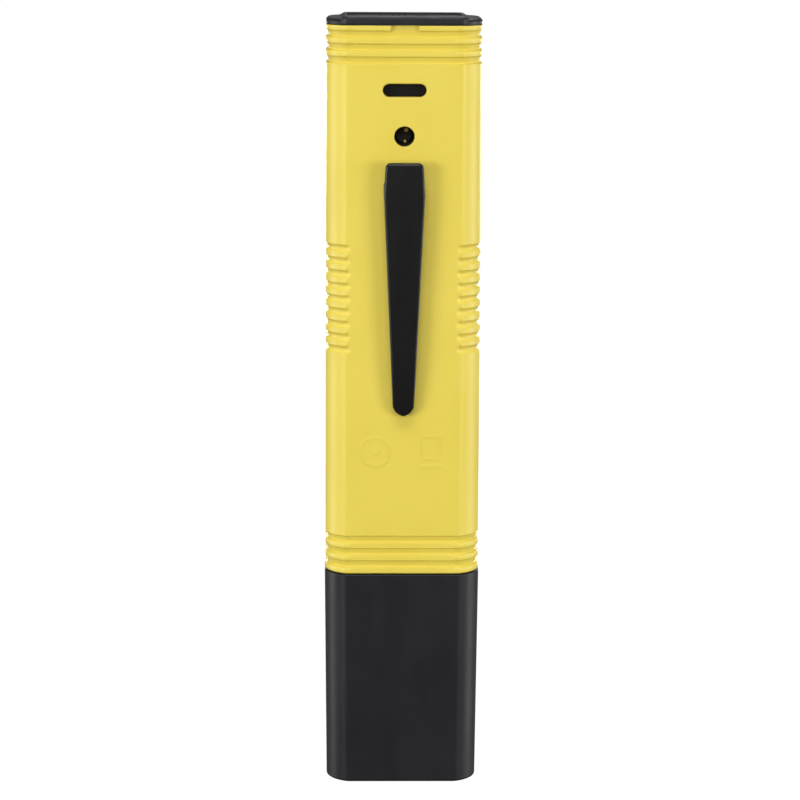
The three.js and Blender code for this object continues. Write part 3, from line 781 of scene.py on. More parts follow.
def seam_tongues():
    """Two rails set in the side walls, which key the half shells together and close the seams to light."""
    outside = HALF_WIDTH - 0.75
    thickness = 0.55
    reach = 0.5
    end_gap = 1.2
    edge = 0.1
    for side, name in ((-1, "left"), (1, "right")):
        left, right = sorted((side * outside, side * (outside - thickness)))
        low = (left, -SEAM - reach, BODY_BOTTOM + end_gap)
        high = (right, reach - SEAM, BODY_TOP - end_gap)
        finished(block(f"seam_tongue_{name}", low, high, edge, edge), YELLOW, "housing")


def mould_marks():
    """Faint raised shapes on the back: a ring round a dot, and a rounded square over a bar."""
    proud = 0.09
    sunk = 0.1
    edge = 0.06
    line = 0.45
    middle = 66.3
    depth = (-HALF_DEPTH - proud, -HALF_DEPTH + sunk)
    past = (depth[0] - PAST, depth[1] + PAST)
    ring_place = (-5.3, 0, middle)
    ring_radius = 3.1
    ring = rod("mould_mark_ring", ring_radius, depth, ring_place, "Y", edge)
    cut(ring, rod("cutter", ring_radius - line, past, ring_place, "Y"))
    dot = rod("mould_mark_dot", 0.8, depth, ring_place, "Y", edge)
    left, right = 3.4, 7.6
    bottom, top = middle - 1.6, middle + 3.3
    square = block("mould_mark_square", (left, depth[0], bottom), (right, depth[1], top), edge, 1.0)
    hole_low = (left + line, past[0], bottom + line)
    cut(square, block("cutter", hole_low, (right - line, past[1], top - line), 0, 0.6))
    bar = block("mould_mark_bar", (3.2, depth[0], middle - 3.2), (7.8, depth[1], middle - 2.5), edge, 0.3)
    for mark in (ring, dot, square, bar):
        finished(mark, YELLOW, "housing")


def window_lens():
    """The clear window, and the dark print behind its edges."""
    corner = 1.0
    middle = (0, LENS.middle.z)
    half = (LENS.half.x, LENS.half.z)
    lens = panel("window_lens_fine", half, corner, middle, "XZ", LENS.y_span, 0.22)
    finished(lens, ACRYLIC, "lens", "window_lens")
    back = LENS.low.y - 0.06
    half = (LENS.half.x - 0.1, LENS.half.z - 0.1)
    mask = panel("window_print", half, corner, middle, "XZ", (back, LENS.low.y - 0.01))
    cut(mask, panel("cutter", (7.9, 6.4), 0.6, middle, "XZ", (back - PAST, LENS.low.y + PAST)))
    finished(mask, MASK, "label")


def numeral(name, text, height, place):
    """A printed number that reads from the front. Place is the middle of its left edge."""
    capital_share = 0.7
    thickness = 0.02
    letters = bpy.data.curves.new(name, "FONT")
    letters.body = text
    letters.size = height / capital_share * MM
    letters.extrude = thickness / 2 * MM
    letters.align_y = "CENTER"
    obj = in_scene(name, letters)
    turn = Matrix(((-1, 0, 0), (0, 0, 1), (0, 1, 0))).to_4x4()
    obj.matrix_world = Matrix.Translation(Vector(place) * MM) @ turn
    finished(as_mesh(obj), INK_WHITE, "label", angle=0)


def scale_color(share):
    """The colour of a pH scale's chip, from red at 0 through green in the middle to violet at 1."""
    stops = (
        (0.62, 0.03, 0.03),
        (0.75, 0.38, 0.03),
        (0.10, 0.42, 0.06),
        (0.03, 0.17, 0.42),
        (0.16, 0.05, 0.28),
    )
    place = share * (len(stops) - 1)
    i = min(int(place), len(stops) - 2)
    return tuple(a + (b - a) * (place - i) for a, b in zip(stops[i], stops[i + 1]))


def front_label():
    """The label's film, with a colour chip and a number for each step of the pH scale, between two rules."""
    chips = 15
    pitch = 2.4
    chip_half = 0.95
    chip_left, chip_right = 0.6, 7.2
    number_height = 1.5
    number_x = -1.4
    rule_half = 0.08
    half = (LABEL.half.x, LABEL.half.z)
    film = panel("front_label_fine", half, 1.0, (0, LABEL.middle.z), "XZ", LABEL.y_span, 0.06)
    finished(film, FILM, "label", "front_label")
    ink = (LABEL.high.y - 0.01, LABEL.high.y + 0.02)
    for i in range(chips):
        z = LABEL.middle.z + (i - (chips - 1) / 2) * pitch
        low = (chip_left, ink[0], z - chip_half)
        chip = block(f"scale_chip_{i}", low, (chip_right, ink[1], z + chip_half), 0, 0.3)
        finished(chip, printed_film(f"scale_ink_{i}", scale_color(i / (chips - 1))), "label")
        numeral(f"scale_number_{i}", str(i), number_height, (number_x, ink[1] - 0.01, z))
    for side in (-1, 1):
        z = LABEL.middle.z + side * (LABEL.half.z - 1.1)
        low = (-chip_right, ink[0], z - rule_half)
        rule = block(f"label_rule_{side + 2}", low, (chip_right, ink[1], z + rule_half), 0, 0.05)
        finished(rule, INK_WHITE, "label")


# ---- Pocket clip ----

CLIP = Box("pocket_clip")
CLIP_TOP = CLIP.high.z
CLIP_OUTER = CLIP.low.y
CLIP_TIP = CLIP.low.z - 0.35
CLIP_SHOULDER = 116.4
# (height, Y) up the inner face of the clip's toe, from its tip to the foot of the straight blade
TOE_LINE = ((73, -9.75), (77.2, -9.35), (85, -10.7))


def clip_right_edge():
    """The blade's right edge in X and Z, from the middle of its tip up to its top."""
    tip_half = 2.05
    tip_height = 2.05
    tip_power = 1.25
    shoulder = 3.92
    top = 3.65
    corner = 1.0
    steps = 40
    points = []
    for turn in turns(12):
        z = CLIP_TIP + tip_height * (1 - math.cos(turn) ** tip_power)
        points.append((tip_half * math.sin(turn) ** tip_power, z))
    blade_foot = points[-1][1]
    for i in range(1, steps + 1):
        share = i / steps
        z = blade_foot + (CLIP_SHOULDER - blade_foot) * share
        points.append((tip_half + (shoulder - tip_half) * share, z))
    for share in (0.3, 0.6, 0.9):
        z = CLIP_SHOULDER + (CLIP_TOP - corner - CLIP_SHOULDER) * share
        points.append((shoulder + (top - shoulder) * share, z))
    return points + [(top - corner * along, CLIP_TOP - corner * below) for along, below in rounding(7)]


def along_line(points, at):
    """The value at that place on a smooth line through the (place, value) points."""
    for (a, low), (b, high) in zip(points, points[1:]):
        if at <= b:
            return low + (high - low) * eased(max(0.0, (at - a) / (b - a)))
    return points[-1][1]


def clip_faces(z):
    """The blade's outer and inner Y at that height: it leans in slightly, and its toe meets the housing."""
    lean = 0.5
    bend = 86
    toe_height = 13
    toe_depth = 1.3
    outer = CLIP_OUTER + lean * (1 - min(1.0, max(0.0, (z - bend) / (CLIP_SHOULDER - bend))))
    outer += toe_depth * max(0.0, (bend - z) / toe_height) ** 1.8
    blade_foot, blade_face = TOE_LINE[-1]
    inner = along_line(TOE_LINE, z)
    if z > blade_foot:
        inner = blade_face - lean * (z - blade_foot) / (CLIP_TOP - blade_foot)
    return outer, inner


def clip_blade():
    """The blade as one skin: rings of its outline from face to face, and strips across both faces."""
    right = clip_right_edge()
    left = [(-x, z) for x, z in right[1:]]
    outline = right + left[::-1]
    outer_edge = 0.42
    inner_edge = 0.25
    profile = [("outer", outer_edge * inset, outer_edge * depth) for depth, inset in rounding(5)]
    profile += [("inner", inner_edge * inset, inner_edge * depth) for depth, inset in reversed(rounding(3))]
    count = len(outline)
    verts = []
    for side, inset, depth in profile:
        for (x, z), (_, whole_z) in zip(inset_outline(outline, inset), outline):
            outer, inner = clip_faces(whole_z)
            verts.append((x, outer + depth if side == "outer" else inner - depth, z))
    faces = []
    for ring in range(len(profile) - 1):
        for j in range(count):
            k = (j + 1) % count
            low, high = ring * count, (ring + 1) * count
            faces.append((low + j, high + j, high + k, low + k))
    last = (len(profile) - 1) * count
    for i in range(len(right) - 1):
        a, b = i, i + 1
        c, d = count - i - 1, (count - i) % count
        faces.append((a, b, c, d) if i else (a, b, c))
        faces.append((last + d, last + c, last + b, last + a) if i else (last + c, last + b, last + a))
    return make_object("pocket_clip_fine", verts, faces)


def pocket_clip():
    """The blade, its foot on the housing, and a neck through the window to a bar behind the wall."""
    bar_face = -INNER_FACE + 0.3
    bar_back = -INNER_FACE + 1.3
    pieces = [clip_blade()]
    for name, across, depth, half_height, edge, corner in (
        ("foot", (-3.93, 3.85), (-11.5, -HALF_DEPTH - 0.3), 1.6, 0.3, 0.6),
        ("neck", (-2.4, 2.4), (-HALF_DEPTH - 1, bar_back), 1.3, 0, 0.2),
        ("bar", (-3.6, 3.6), (bar_face, bar_back), 1.3, 0.15, 0),
    ):
        low = (across[0], depth[0], FOOT_MIDDLE - half_height)
        high = (across[1], depth[1], FOOT_MIDDLE + half_height)
        pieces.append(block(name, low, high, edge, corner))
    finished(join(*pieces), CLIP_BLACK, "clip", "pocket_clip", body="clip")


# ---- Protective cap ----


def pen_ring(section_inset, z, inset):
    """The pen's outline at that height, drawn in by the inset from a section that is itself inset.

    It's drawn in by all of it at the widest and deepest points, and in proportion between.
    """
    across = 1 - inset / (HALF_WIDTH - section_inset)
    along = 1 - inset / (HALF_DEPTH - section_inset)
    return [(x * across, y * along, z) for x, y in full_outline(section_inset)]


def protective_cap():
    """The cap's wall, round its foot, over its lip and down to the floor inside."""
    top = Box("protective_cap").high
    flare = HALF_WIDTH - top.x
    draft = 0.4
    foot = 0.55
    lip = 0.2
    inside = 1.45
    floor = 2.0
    floor_draft = 0.35
    floor_edge = 0.9
    rings = [pen_ring(flare, foot * up, draft + foot * inset) for up, inset in rounding(6)]
    rings += [pen_ring(flare, top.z - lip * down, lip * inset) for down, inset in reversed(rounding(3))]
    rings += [pen_ring(inside, top.z - lip * down, -lip * inset) for down, inset in rounding(3)]
    rings += [pen_ring(inside, floor + up, floor_draft + floor_edge * inset) for inset, up in rounding(4)]
    finished(loft("protective_cap_fine", rings), BLACK, "black_cap", "protective_cap", body="cap")


# ---- Electrode ----

HOLDER = Box("electrode_holder")
SLEEVE_RADIUS = 6.3
GUARD_TOP = 13.6
PLUG_BOTTOM = 35.0
PLUG_INSET = WALL + SLIDE_FIT


def plug_rows():
    """(height, inset) up the plug's outside, with a seat for each sealing ring."""
    chamfer = 0.5
    depth = 0.85
    step = 0.001
    top_edge = 0.3
    rows = [(PLUG_BOTTOM, chamfer), (PLUG_BOTTOM + chamfer, 0)]
    for name in ("cap_o_ring", "body_o_ring"):
        seal = Box(name)
        low, high = seal.low.z - SEAM, seal.high.z + SEAM
        rows += [(low, 0), (low + step, depth), (high - step, depth), (high, 0)]
    rows += [(HOLDER.high.z - top_edge, 0), (HOLDER.high.z, top_edge)]
    return rounded_profile(rows, 0.12, 3)


def electrode_holder():
    """The plug in the housing's end, and the sleeve below it, whose windows leave four guard fingers."""
    low = HOLDER.low.z
    sleeve_top = PLUG_BOTTOM + 0.4
    sleeve_edge = 0.6
    bore_radius = 4.3
    bulb_room_radius = 4.7
    window_half = 2.6
    window_corner = 1.6
    pin_hole = 0.65
    past_sleeve = SLEEVE_RADIUS + PAST
    obj = loft("electrode_holder_fine", [pen_ring(PLUG_INSET, z, inset) for z, inset in plug_rows()])
    profile = [(0, low), (SLEEVE_RADIUS, low), (SLEEVE_RADIUS, sleeve_top), (0, sleeve_top)]
    join(obj, turned("sleeve", rounded_profile(profile, sleeve_edge, 5), count=96))
    hollow = loft("cutter", [pen_ring(4.0, z, 0) for z in (PLUG_BOTTOM + 1.5, HOLDER.high.z + PAST)])
    bore = rod("cutter", bore_radius, (GUARD_TOP - PAST, PLUG_BOTTOM + 3), count=96)
    cut(obj, hollow, bore, rod("cutter", bulb_room_radius, (low - PAST, GUARD_TOP), count=96))
    middle = (0, (low - PAST + GUARD_TOP) / 2)
    outline = rounded_rectangle(window_half, (GUARD_TOP - low + PAST) / 2, window_corner, middle, 8)
    outline = dedupe([(x, z if z > middle[1] else low - 4 * PAST) for x, z in outline])
    for plane in ("XZ", "YZ"):
        cut(obj, slab("cutter", outline, plane, (-past_sleeve, past_sleeve)))
    pin = Box("ceramic_junction").middle
    cut(obj, rod("cutter", pin_hole, (GUARD_TOP - PAST, GUARD_TOP + 3.6), (pin.x, 0, 0), count=24))
    finished(obj, INNER_PLASTIC_AND_SHADE, "inner_plastic", "electrode_holder", angle=32)


def dedupe(outline):
    """The outline without points that repeat the one before."""
    return [p for i, p in enumerate(outline) if (Vector(p) - Vector(outline[i - 1])).length > 1e-6]


def sealing_ring(node, outer_inset):
    """A rubber ring that follows the pen's outline, round in section where it bulges out."""
    inner_inset = 2.75
    squareness = 0.8
    seal = Box(node)
    middle = (outer_inset + inner_inset) / 2
    half = (inner_inset - outer_inset) / 2
    rings = []
    for turn in turns(20, 0, 4 * QUARTER)[:-1]:
        across = math.copysign(abs(math.cos(turn)) ** squareness, math.cos(turn))
        up = math.copysign(abs(math.sin(turn)) ** squareness, math.sin(turn))
        outline = full_outline(middle - half * across)
        rings.append([(x, y, seal.middle.z + seal.half.z * up) for x, y in outline])
    finished(loft(f"{node}_fine", rings, closed_loop=True), RUBBER, "seal_rubber", node)


def glass_electrode():
    """A glass tube that widens into a thin bulb at its end."""
    glass = Box("glass_electrode")
    bulb_radius = 3.5
    bulb_wall = 0.45
    tube_wall = 0.7
    tube_radius = glass.high.x
    shoulder = 15.6
    centre = glass.low.z + bulb_radius
    last_turn = 2.2

    def bulb(radius):
        return [(radius * math.sin(t), centre - radius * math.cos(t)) for t in turns(24, 0, last_turn)]

    inner_radius = tube_radius - tube_wall
    outside = bulb(bulb_radius) + [(tube_radius - 0.5, shoulder - 0.9), (tube_radius, shoulder)]
    inside = [(inner_radius, shoulder + 0.4), (inner_radius - 0.4, shoulder - 0.6)]
    inside += bulb(bulb_radius - bulb_wall)[::-1]
    rim = [(tube_radius, glass.high.z), (inner_radius, glass.high.z)]
    obj = turned("glass_electrode_fine", rounded_profile(outside + rim + inside, 0.6), count=96)
    finished(obj, SENSOR_GLASS, "sensor_glass", "glass_electrode", angle=50)


def electrode_core():
    """The wire in the glass, the porous pin beside it and the rubber seal round it."""
    wire = Box("silver_wire")
    core = rod("silver_wire_fine", wire.half.x, wire.z_span, edge=0.15, count=24)
    finished(core, SILVER, "silver", "silver_wire")
    pin = Box("ceramic_junction")
    plug = rod("ceramic_junction_fine", pin.half.x, pin.z_span, (pin.middle.x, 0, 0), edge=0.1, count=32)
    finished(plug, CERAMIC, "junction_ceramic", "ceramic_junction")
    seal = Box("sensor_seal")
    inner, outer = 4.0, seal.high.x
    corners = [(outer, seal.middle.z), (outer, seal.high.z), (inner, seal.high.z), (inner, seal.low.z)]
    profile = rounded_profile([*corners, (outer, seal.low.z), (outer, seal.middle.z)], 0.25)
    obj = turned("sensor_seal_fine", profile[:-1], closed_loop=True, count=96)
    finished(obj, RUBBER, "seal_rubber", "sensor_seal")


# ---- Circuit board, display and leads ----

BOARD_BACK = BOARD.low.y
PARTS_BACK = BOARD_BACK - 0.1


def main_pcb():
    board = block("main_pcb_fine", BOARD.low, BOARD.high, 0.06, 1.0)
    past = (BOARD.low.y - PAST, BOARD.high.y + PAST)
    cut(board, *[rod("cutter", 1.1, past, (x, 0, z), "Y", count=32) for x, z in SCREW_PLACES])
    finished(board, SOLDER_MASK, "circuit_board", "main_pcb")


def pcb_screw(index, place):
    """A cross-headed screw with a thread, from the board's back into its boss."""
    head_height = 1.3
    core = 0.6
    crest = 0.72
    thread_pitch = 0.5
    cross_half = (0.2, 0.95)
    cross_depth = 0.6
    x, z = place
    seat = BOARD_BACK - 0.05
    top = seat - head_height
    profile = [(0, top), (1.2, top), (1.9, top + 0.5), (1.9, seat), (0.7, seat)]
    for i in range(8):
        y = seat + 0.9 + thread_pitch * i
        profile += [(core, y), (crest, y + 0.12), (crest, y + 0.2), (core, y + 0.32)]
    obj = turned(f"pcb_screw_{index}_fine", [*profile, (core, 5.6), (0, 6.4)], (x, 0, z), "Y", 40)
    for half in (cross_half, cross_half[::-1]):
        low = (x - half[0], top - PAST, z - half[1])
        cut(obj, block("cutter", low, (x + half[0], top + cross_depth, z + half[1])))
    finished(obj, STEEL, "steel", f"pcb_screw_{index}")


def display():
    """The display's glass in its frame, and the rubber strips that connect it to the board."""
    gap = 0.15
    ledge = 1.3
    overlap = 0.05
    edge = 0.08
    holder = Box("lcd_holder")
    middle = (0, DISPLAY.middle.z)
    holder_frame = block("lcd_holder_fine", holder.low, holder.high, 0.2, 0.8)
    room = (DISPLAY.half.x + gap, DISPLAY.half.z + gap)
    cut(holder_frame, panel("cutter", room, 0.3, middle, "XZ", (holder.low.y - PAST, DISPLAY.high.y + 0.1)))
    cut(holder_frame, panel("cutter", VIEW_HALF, 0.5, middle, "XZ", (holder.low.y, holder.high.y + PAST)))
    finished(holder_frame, WHITE, "white_plastic", "lcd_holder")

    low, high = DISPLAY.low, DISPLAY.high
    split = (low.y + high.y) / 2
    glass = block("lcd_glass_fine", low, (high.x, split, high.z), edge)
    front_low = (low.x, split - overlap, low.z + ledge)
    join(glass, block("glass", front_low, (high.x, high.y, high.z - ledge), edge))
    finished(glass, DISPLAY_GREY, "display_glass", "lcd_glass")
    for name in ("zebra_top", "zebra_bottom"):
        strip = Box(name)
        finished(block(f"{name}_fine", strip.low, strip.high, 0.12), ZEBRA, "seal_rubber", name)


# The seven strokes of a digit: (middle across, middle up, lies flat), in halves of the digit's size.
STROKES = (
    (0, 1, True),
    (0, 0, True),
    (0, -1, True),
    (-1, 0.5, False),
    (1, 0.5, False),
    (-1, -0.5, False),
    (1, -0.5, False),
)
SEVEN = (0, 4, 6)
ZERO = (0, 2, 3, 4, 5, 6)


def display_segments():
    """The display's dark segments, which read 7.00."""
    half_width = 1.35
    half_height = 2.9
    stroke = 0.55
    gap = 0.12
    lean = 0.08
    point_x = 3.0
    point_radius = 0.26
    centre = DISPLAY.middle.z + 0.4
    ink = (DISPLAY.high.y - 0.01, DISPLAY.high.y + 0.015)
    for digit, (x, shown) in enumerate(((5.1, SEVEN), (0.9, ZERO), (-3.3, ZERO))):
        for part in shown:
            across, up, flat = STROKES[part]
            reach = (half_width - gap if flat else half_height / 2 - gap) - stroke / 2
            ends = [(-reach, 0), (-reach + stroke / 2, -stroke / 2), (reach - stroke / 2, -stroke / 2)]
            ends += [(-a, -b) for a, b in ends]
            if not flat:
                ends = [(-b, a) for a, b in ends]
            outline = [(a + across * half_width, b + up * half_height) for a, b in ends]
            outline = [(x - a - lean * b, centre + b) for a, b in outline[::-1]]
            piece = slab(f"segment_{digit}_{part}", outline, "XZ", ink)
            finished(piece, SEGMENT_GREY, "display_glass", angle=0)
    point = rod("segment_point", point_radius, ink, (point_x, 0, centre - half_height), "Y", count=24)
    finished(point, SEGMENT_GREY, "display_glass", angle=0)


def chip_blob():
    """A chip under its drop of epoxy."""
    height = 1.6
    blob = Box("chip_blob")
    dome = [(blob.half.x * math.sin(t), PARTS_BACK - height * math.cos(t) ** 1.3) for t in turns(14)]
    obj = turned("chip_blob_fine", [*dome, (0, PARTS_BACK)], (0, 0, blob.middle.z), "Y")
    finished(obj, EPOXY, "chip_epoxy", "chip_blob", angle=50)


def amplifier_chip():
    """A case with four bent legs on each side, and a dot that marks the first."""
    half = 1.95
    leg_pitch = 1.27
    leg_half = 0.2
    dot = 0.3
    chip = Box("amplifier_chip")
    top = chip.low.y
    high = (half, PARTS_BACK - 0.15, chip.high.z)
    case = block("amplifier_chip_fine", (-half, top, chip.low.z), high, 0.12)
    leg = [(1.8, -0.85), (2.45, -0.85), (2.6, -0.2), (3.0, -0.2)]
    leg += [(3.0, 0.0), (2.42, 0.0), (2.28, -0.65), (1.8, -0.65)]
    for side in (-1, 1):
        outline = [(side * x, PARTS_BACK + y) for x, y in leg[::side]]
        for i in range(4):
            z = chip.low.z + 0.55 + i * leg_pitch
            join(case, slab("leg", outline, "XY", (z - leg_half, z + leg_half)))
    cut(case, rod("cutter", dot, (top - PAST, top + 0.06), (-1.2, 0, chip.high.z - 0.8), "Y", count=24))
    finished(case, EPOXY, "chip_epoxy", "amplifier_chip")


def board_cans():
    """The crystal, and two capacitors with a groove rolled in near the foot."""
    can = Box("crystal")
    place = (can.middle.x, can.middle.y, 0)
    obj = rod("crystal_fine", can.half.x, can.z_span, place, edge=0.35, count=40)
    finished(obj, STEEL, "steel", "crystal")
    for name in ("capacitor_1", "capacitor_2"):
        can = Box(name)
        low, high, radius = can.low.z, can.high.z, can.half.x
        corners = [(0, low), (radius, low), (radius, low + 0.8), (radius - 0.18, low + 1.05)]
        corners += [(radius, low + 1.3), (radius, high), (radius - 0.35, high)]
        corners += [(radius - 0.4, high - 0.1), (0, high - 0.1)]
        place = (can.middle.x, can.middle.y, 0)
        obj = turned(f"{name}_fine", rounded_profile(corners, 0.15), place)
        finished(obj, BLUE, "component_blue", name)


def trimmer():
    """The body with a well in its back, and the slotted rotor in the well, with its two brass pins. Body and
    rotor are near-black. That is partly their own colour and partly painted shade for the deep well seen
    through the housing's hole.
    """
    well_radius = 1.75
    slot_half = 0.28
    slot_depth = 0.7
    body = Box("trimmer_body")
    face = body.low.y
    z = ROTOR.middle.z
    case = block("trimmer_body_fine", body.low, body.high, 0.2, 0.3)
    well = [(0, face - PAST), (well_radius + 0.2, face - PAST), (well_radius, face + 0.15)]
    well += [(well_radius, face + 1), (0, face + 1)]
    cut(case, turned("cutter", well, (0, 0, z), "Y"))
    # The body's near-black colour is partly painted shade in the well.
    finished(case, TRIMMER_DARK_AND_SHADE, "component_blue", "trimmer_body")

    back = ROTOR.low.y
    rotor = rod("trimmer_rotor", ROTOR.half.x, (back, ROTOR.high.y), (0, 0, z), "Y", 0.12)
    cut(rotor, block("cutter", (-3, back - PAST, z - slot_half), (3, back + slot_depth, z + slot_half)))
    # The rotor is near-black as painted shade deep in its well, not as its own finish.
    finished(rotor, TRIMMER_DARK_AND_SHADE, "brass", "trimmer_screw", body="trimmer")
    for name, radius, x, up in (("trimmer_wiper", 0.44, 0.42, 0.92), ("trimmer_rivet", 0.36, 0.2, -1.36)):
        pin = rod(name, radius, (back - 0.08, back + 0.3), (x, 0, z + up), "Y", 0.12, 32)
        finished(pin, BRASS, "brass", body="trimmer")


def spring_contact(name):
    """A bent strip on the board that bears on the tray's contact."""
    thickness = 0.3
    strip = Box(name)
    low, high = strip.low, strip.high
    shape = [(high.y, low.z), (high.y, high.z), (low.y, high.z), (low.y, high.z - thickness)]
    shape += [(high.y - thickness, high.z - thickness), (high.y - thickness, low.z)]
    obj = slab(f"{name}_fine", shape, "YZ", (low.x, high.x))
    finished(soften(obj, 0.07), TIN, "contact_metal", name)


# The two wires from the electrode up to the board
SIGNAL_ROUTE = ((0, 0, 61.5), (0.2, -1.1, 64), (1.6, -1.3, 66.5), (3.2, -0.3, 68.2))
REFERENCE_ROUTE = ((-7, 0, 43), (-7, -1, 52), (-5.6, -2, 59), (-4, -1.2, 63.5), (-3.4, -0.3, 65.4))


def leads():
    radius = 0.45
    for name, route, made in (("signal", SIGNAL_ROUTE, RED_LEAD), ("reference", REFERENCE_ROUTE, BLACK_LEAD)):
        wire = cable(f"lead_{name}_fine", route, radius)
        finished(wire, made, "lead_red" if made is RED_LEAD else "lead_black", f"lead_{name}", angle=0)


# ---- Battery drawer and switch ----

CELL_MIDDLE = CELLS[0].middle.z
CELL_RADIUS = CELLS[0].half.z
PEG_X = 10.9
PEG_BOTTOM = LID.low.z
LID_BOTTOM = BODY_TOP + SEAM


def battery_tray():
    """A tray that fills the pen's outline, open to the front for the cells and at its top for the switch."""
    low, high = TRAY.z_span
    floor = 1.2
    edge = 0.4
    end_inside = 11.55
    contact_slot = 0.8
    switch_room = 9
    peg_hole = 1.15
    rows = [(low + edge * up, edge * inset) for up, inset in rounding(3)] + [(high, 0)]
    obj = loft("battery_tray_fine", [pen_ring(PLUG_INSET, z, inset) for z, inset in rows])
    roof = CELL_MIDDLE + CELL_RADIUS + 0.3
    back = -CELL_RADIUS - 0.15
    half = (end_inside, (roof - low - floor) / 2)
    cut(obj, panel("cutter", half, 0.5, (0, roof - half[1]), "XZ", (back, FAR_OUT), 0.5))
    room_low = (-switch_room, -FAR_OUT, SWITCH.low.z - 0.1)
    cut(obj, block("cutter", room_low, (switch_room, FAR_OUT, high + 2 * PAST), 0, 0.3))
    for side in (-1, 1):
        left, right = sorted((side * (end_inside - contact_slot), side * end_inside))
        cut(obj, block("cutter", (left, -2, low - PAST), (right, 2, low + 2 * floor)))
        cut(obj, rod("cutter", peg_hole, (PEG_BOTTOM - 0.2, high + PAST), (side * PEG_X, 0, 0), count=32))
    # The tray's near-black colour carries painted shade where it shows through the slot.
    finished(obj, INNER_PLASTIC_AND_SHADE, "inner_plastic", "battery_tray", body="battery_drawer")


def cell(index):
    """A button cell: a can crimped in over a dark gasket, and the smaller cap of its other pole."""
    box = CELLS[index]
    name = f"cell_{index + 1}"
    start, end = box.x_span
    place = (0, 0, CELL_MIDDLE)
    radius = CELL_RADIUS
    corner = 0.35
    mouth = 4.75
    can = [(0, start), (radius - corner, start), (radius, start + corner), (radius, end - 1.1)]
    can += [(radius - 0.45, end - 0.62), (mouth, end - 0.55), (mouth, end - 1.0), (0, end - 1.0)]
    obj = turned(f"{name}_fine", rounded_profile(can, 0.2), place, "X", 72)
    cap = [(0, end - 1.2), (4.45, end - 1.2), (4.4, end - 0.25), (4.1, end), (0, end)]
    join(obj, turned("cap", rounded_profile(cap, 0.2), place, "X", 72))
    finished(obj, STEEL, "steel", name, body="battery_drawer")
    ring = [(4.5, end - 0.95), (4.72, end - 0.95), (4.72, end - 0.45), (4.5, end - 0.45)]
    gasket = turned(f"{name}_gasket", ring, place, "X", 72, closed_loop=True)
    finished(gasket, RUBBER, "seal_rubber", body="battery_drawer")


def tray_contact(name):
    """A plate that bears on the cells, with two small holes, and a tab through the tray's floor."""
    half = (4.0, 4.5)
    hole = 0.35
    hole_y = 2.4
    box = Box(name)
    faces = box.x_span
    plate = panel(f"{name}_fine", half, 0.8, (0, CELL_MIDDLE), "YZ", faces, 0.05)
    tab_half = (CELL_MIDDLE - 4 - box.low.z) / 2
    join(plate, panel("tab", (1.5, tab_half), 0.3, (0, box.low.z + tab_half), "YZ", faces, 0.05))
    past = (faces[0] - PAST, faces[1] + PAST)
    for y in (-hole_y, hole_y):
        cut(plate, rod("cutter", hole, past, (0, y, CELL_MIDDLE), "X", count=24))
    finished(plate, TIN, "contact_metal", name, body="battery_drawer")


def lid_rows(height, fillet):
    """(height, inset) up the lid's outside, with a tiny lip below and a rounded edge on top."""
    lip = 0.08
    rows = [(LID_BOTTOM + lip * up, lip * inset) for up, inset in rounding(2)]
    return rows + [(height - fillet * down, fillet * inset) for inset, down in rounding(8)]


def top_cap():
    """The lid: its dished middle stands above rounded lower ends, and a window holds the switch knob."""
    top = LID.high.z
    proud = 0.05
    step = 0.4
    foot_x = 12.2
    head_x = 11.4
    dish_half = (10.9, HALF_DEPTH - 3.2)
    dish_depth = 0.35
    obj = loft("top_cap_fine", [pen_ring(-proud, z, inset) for z, inset in lid_rows(top - step, 0.85)])
    middle = loft("middle", [pen_ring(-proud, z, inset) for z, inset in lid_rows(top, 0.5)])
    end = [(foot_x, LID_BOTTOM - PAST), (FAR_OUT, LID_BOTTOM - PAST), (FAR_OUT, top + PAST)]
    end += [(head_x, top + PAST), (head_x, top), (foot_x, top - step)]
    cut(middle, slab("cutter", end, "XZ", (-FAR_OUT, FAR_OUT)))
    cut(middle, slab("cutter", [(-x, z) for x, z in end[::-1]], "XZ", (-FAR_OUT, FAR_OUT)))
    join(obj, middle)
    dish = rounded_rectangle(*dish_half, 1.0, count=10)
    cut(obj, slab("cutter", dish, "XY", (top - dish_depth, top + PAST)))
    cut(obj, panel("cutter", (4.75, 2.45), 0.5, (0, 0), "XY", (LID_BOTTOM - PAST, top + PAST)))
    for side in (-1, 1):
        join(obj, rod("peg", 1.0, (PEG_BOTTOM, LID_BOTTOM + 0.3), (side * PEG_X, 0, 0), edge=0.25, count=40))
    finished(obj, BLACK, "black_cap", "top_cap", body="battery_drawer")


def power_switch():
    """The slide switch's body, and its knob with three finger grooves and a stem down into the body."""
    low, high = SWITCH.z_span
    case = panel("switch_body_fine", (SWITCH.half.x, SWITCH.half.y), 0.3, (0, 0), "XY", (low, high), 0.12)
    cut(case, panel("cutter", (2.6, 0.9), 0.2, (0, 0), "XY", (low + 0.8, high + PAST)))
    finished(case, INNER_PLASTIC_AND_SHADE, "inner_plastic", "switch_body", body="battery_drawer")

    groove_pitch = 1.2
    knob = Box("switch_knob")
    x, top = knob.middle.x, knob.high.z
    half = (knob.half.x, knob.half.y)
    pad = panel("switch_knob_fine", half, 0.5, (x, 0), "XY", (LID_BOTTOM + 0.2, top), 0.25)
    for i in (-1, 0, 1):
        groove = (x + groove_pitch * i, top)
        cut(pad, panel("cutter", (0.25, 0.3), 0.2, groove, "XZ", (-FAR_OUT, FAR_OUT)))
    join(pad, panel("stem", (0.8, 0.7), 0.15, (x, 0), "XY", (knob.low.z, LID_BOTTOM + 0.4)))
    finished(pad, BLACK, "black_cap", "switch_knob", body="power_switch")


# ---- Studio and camera ----


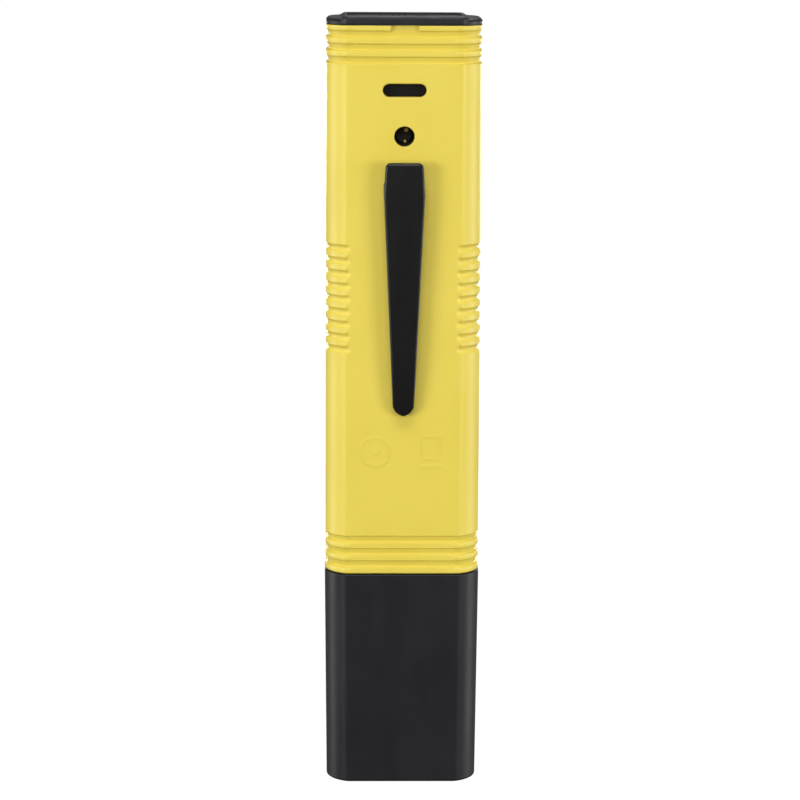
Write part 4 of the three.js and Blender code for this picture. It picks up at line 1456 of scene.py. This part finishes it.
def aim(obj, position, target):
    """Puts a lamp or camera at the position, and turns it towards the target."""
    obj.location = Vector(position) * MM
    obj.rotation_mode = "QUATERNION"
    obj.rotation_quaternion = (Vector(target) - Vector(position)).to_track_quat("-Z", "Y")


def soft_box(name, position, size, power):
    """A rectangular lamp that faces the middle of the pen."""
    lamp = bpy.data.lights.new(name, "AREA")
    lamp.shape = "RECTANGLE"
    lamp.size = size[0] * MM
    lamp.size_y = size[1] * MM
    lamp.energy = power
    aim(in_scene(name, lamp), position, (0, 0, 75))


def studio():
    """A pale floor and backdrop that throw no light on the object, and soft boxes all round."""
    reach = 4000
    drum = loft("floor_and_backdrop", [[(x, y, z) for x, y in circle(reach, count=96)] for z in (0, reach)])
    white = material("studio_white", (0, 0, 0), 1.0, Emission_Color=(1, 1, 1, 1), Emission_Strength=1.0)
    drum.data.materials.append(white)
    drum.visible_glossy = False
    drum.visible_diffuse = False
    drum.visible_shadow = False

    world = bpy.data.worlds.new("studio")
    world.use_nodes = True
    background = world.node_tree.nodes["Background"]
    background.inputs["Color"].default_value = (1, 1, 1, 1)
    background.inputs["Strength"].default_value = 0.16
    bpy.context.scene.world = world
    bpy.context.scene.view_settings.view_transform = "Standard"

    soft_box("high_box", (-120, -900, 1550), (800, 500), 11.4)
    soft_box("front_box", (-60, -1300, 560), (700, 420), 4.1)
    soft_box("left_box", (-900, -900, 150), (520, 400), 7.2)
    soft_box("right_box", (900, -900, 150), (520, 400), 5.5)
    soft_box("left_rim", (-1000, 180, 140), (400, 900), 4.6)
    soft_box("right_rim", (1000, 120, 140), (400, 900), 5.8)
    soft_box("back_low_box", (150, 1250, 70), (1400, 130), 9.0)
    soft_box("back_high_box", (200, 950, 1350), (700, 400), 10.0)


def photo_camera():
    distance = 600.0
    pitch = math.radians(10.0)
    turn = math.radians(1.2)
    roll = math.radians(0.3)
    target = Vector((-0.41, 0, 74.95))
    back = Vector((-math.sin(turn) * math.cos(pitch), -math.cos(turn) * math.cos(pitch), math.sin(pitch)))
    lens = bpy.data.cameras.new("photo_camera")
    lens.sensor_width = 36
    lens.lens = 137.87
    obj = in_scene("photo_camera", lens)
    aim(obj, target + back * distance, target)
    obj.rotation_quaternion = Matrix.Rotation(roll, 3, back).to_quaternion() @ obj.rotation_quaternion
    bpy.context.scene.camera = obj


# ---- The whole meter ----


def build():
    rear_shell()
    front_shell()
    seam_tongues()
    mould_marks()
    window_lens()
    front_label()
    pocket_clip()
    protective_cap()

    electrode_holder()
    sealing_ring("cap_o_ring", 1.65)
    sealing_ring("body_o_ring", 1.95)
    glass_electrode()
    electrode_core()

    main_pcb()
    for i, place in enumerate(SCREW_PLACES):
        pcb_screw(i + 1, place)
    display()
    display_segments()
    chip_blob()
    amplifier_chip()
    board_cans()
    trimmer()
    spring_contact("spring_contact_left")
    spring_contact("spring_contact_right")
    leads()

    top_cap()
    battery_tray()
    for i in range(len(CELLS)):
        cell(i)
    tray_contact("contact_left")
    tray_contact("contact_right")
    power_switch()


photo_camera()
studio()
build()
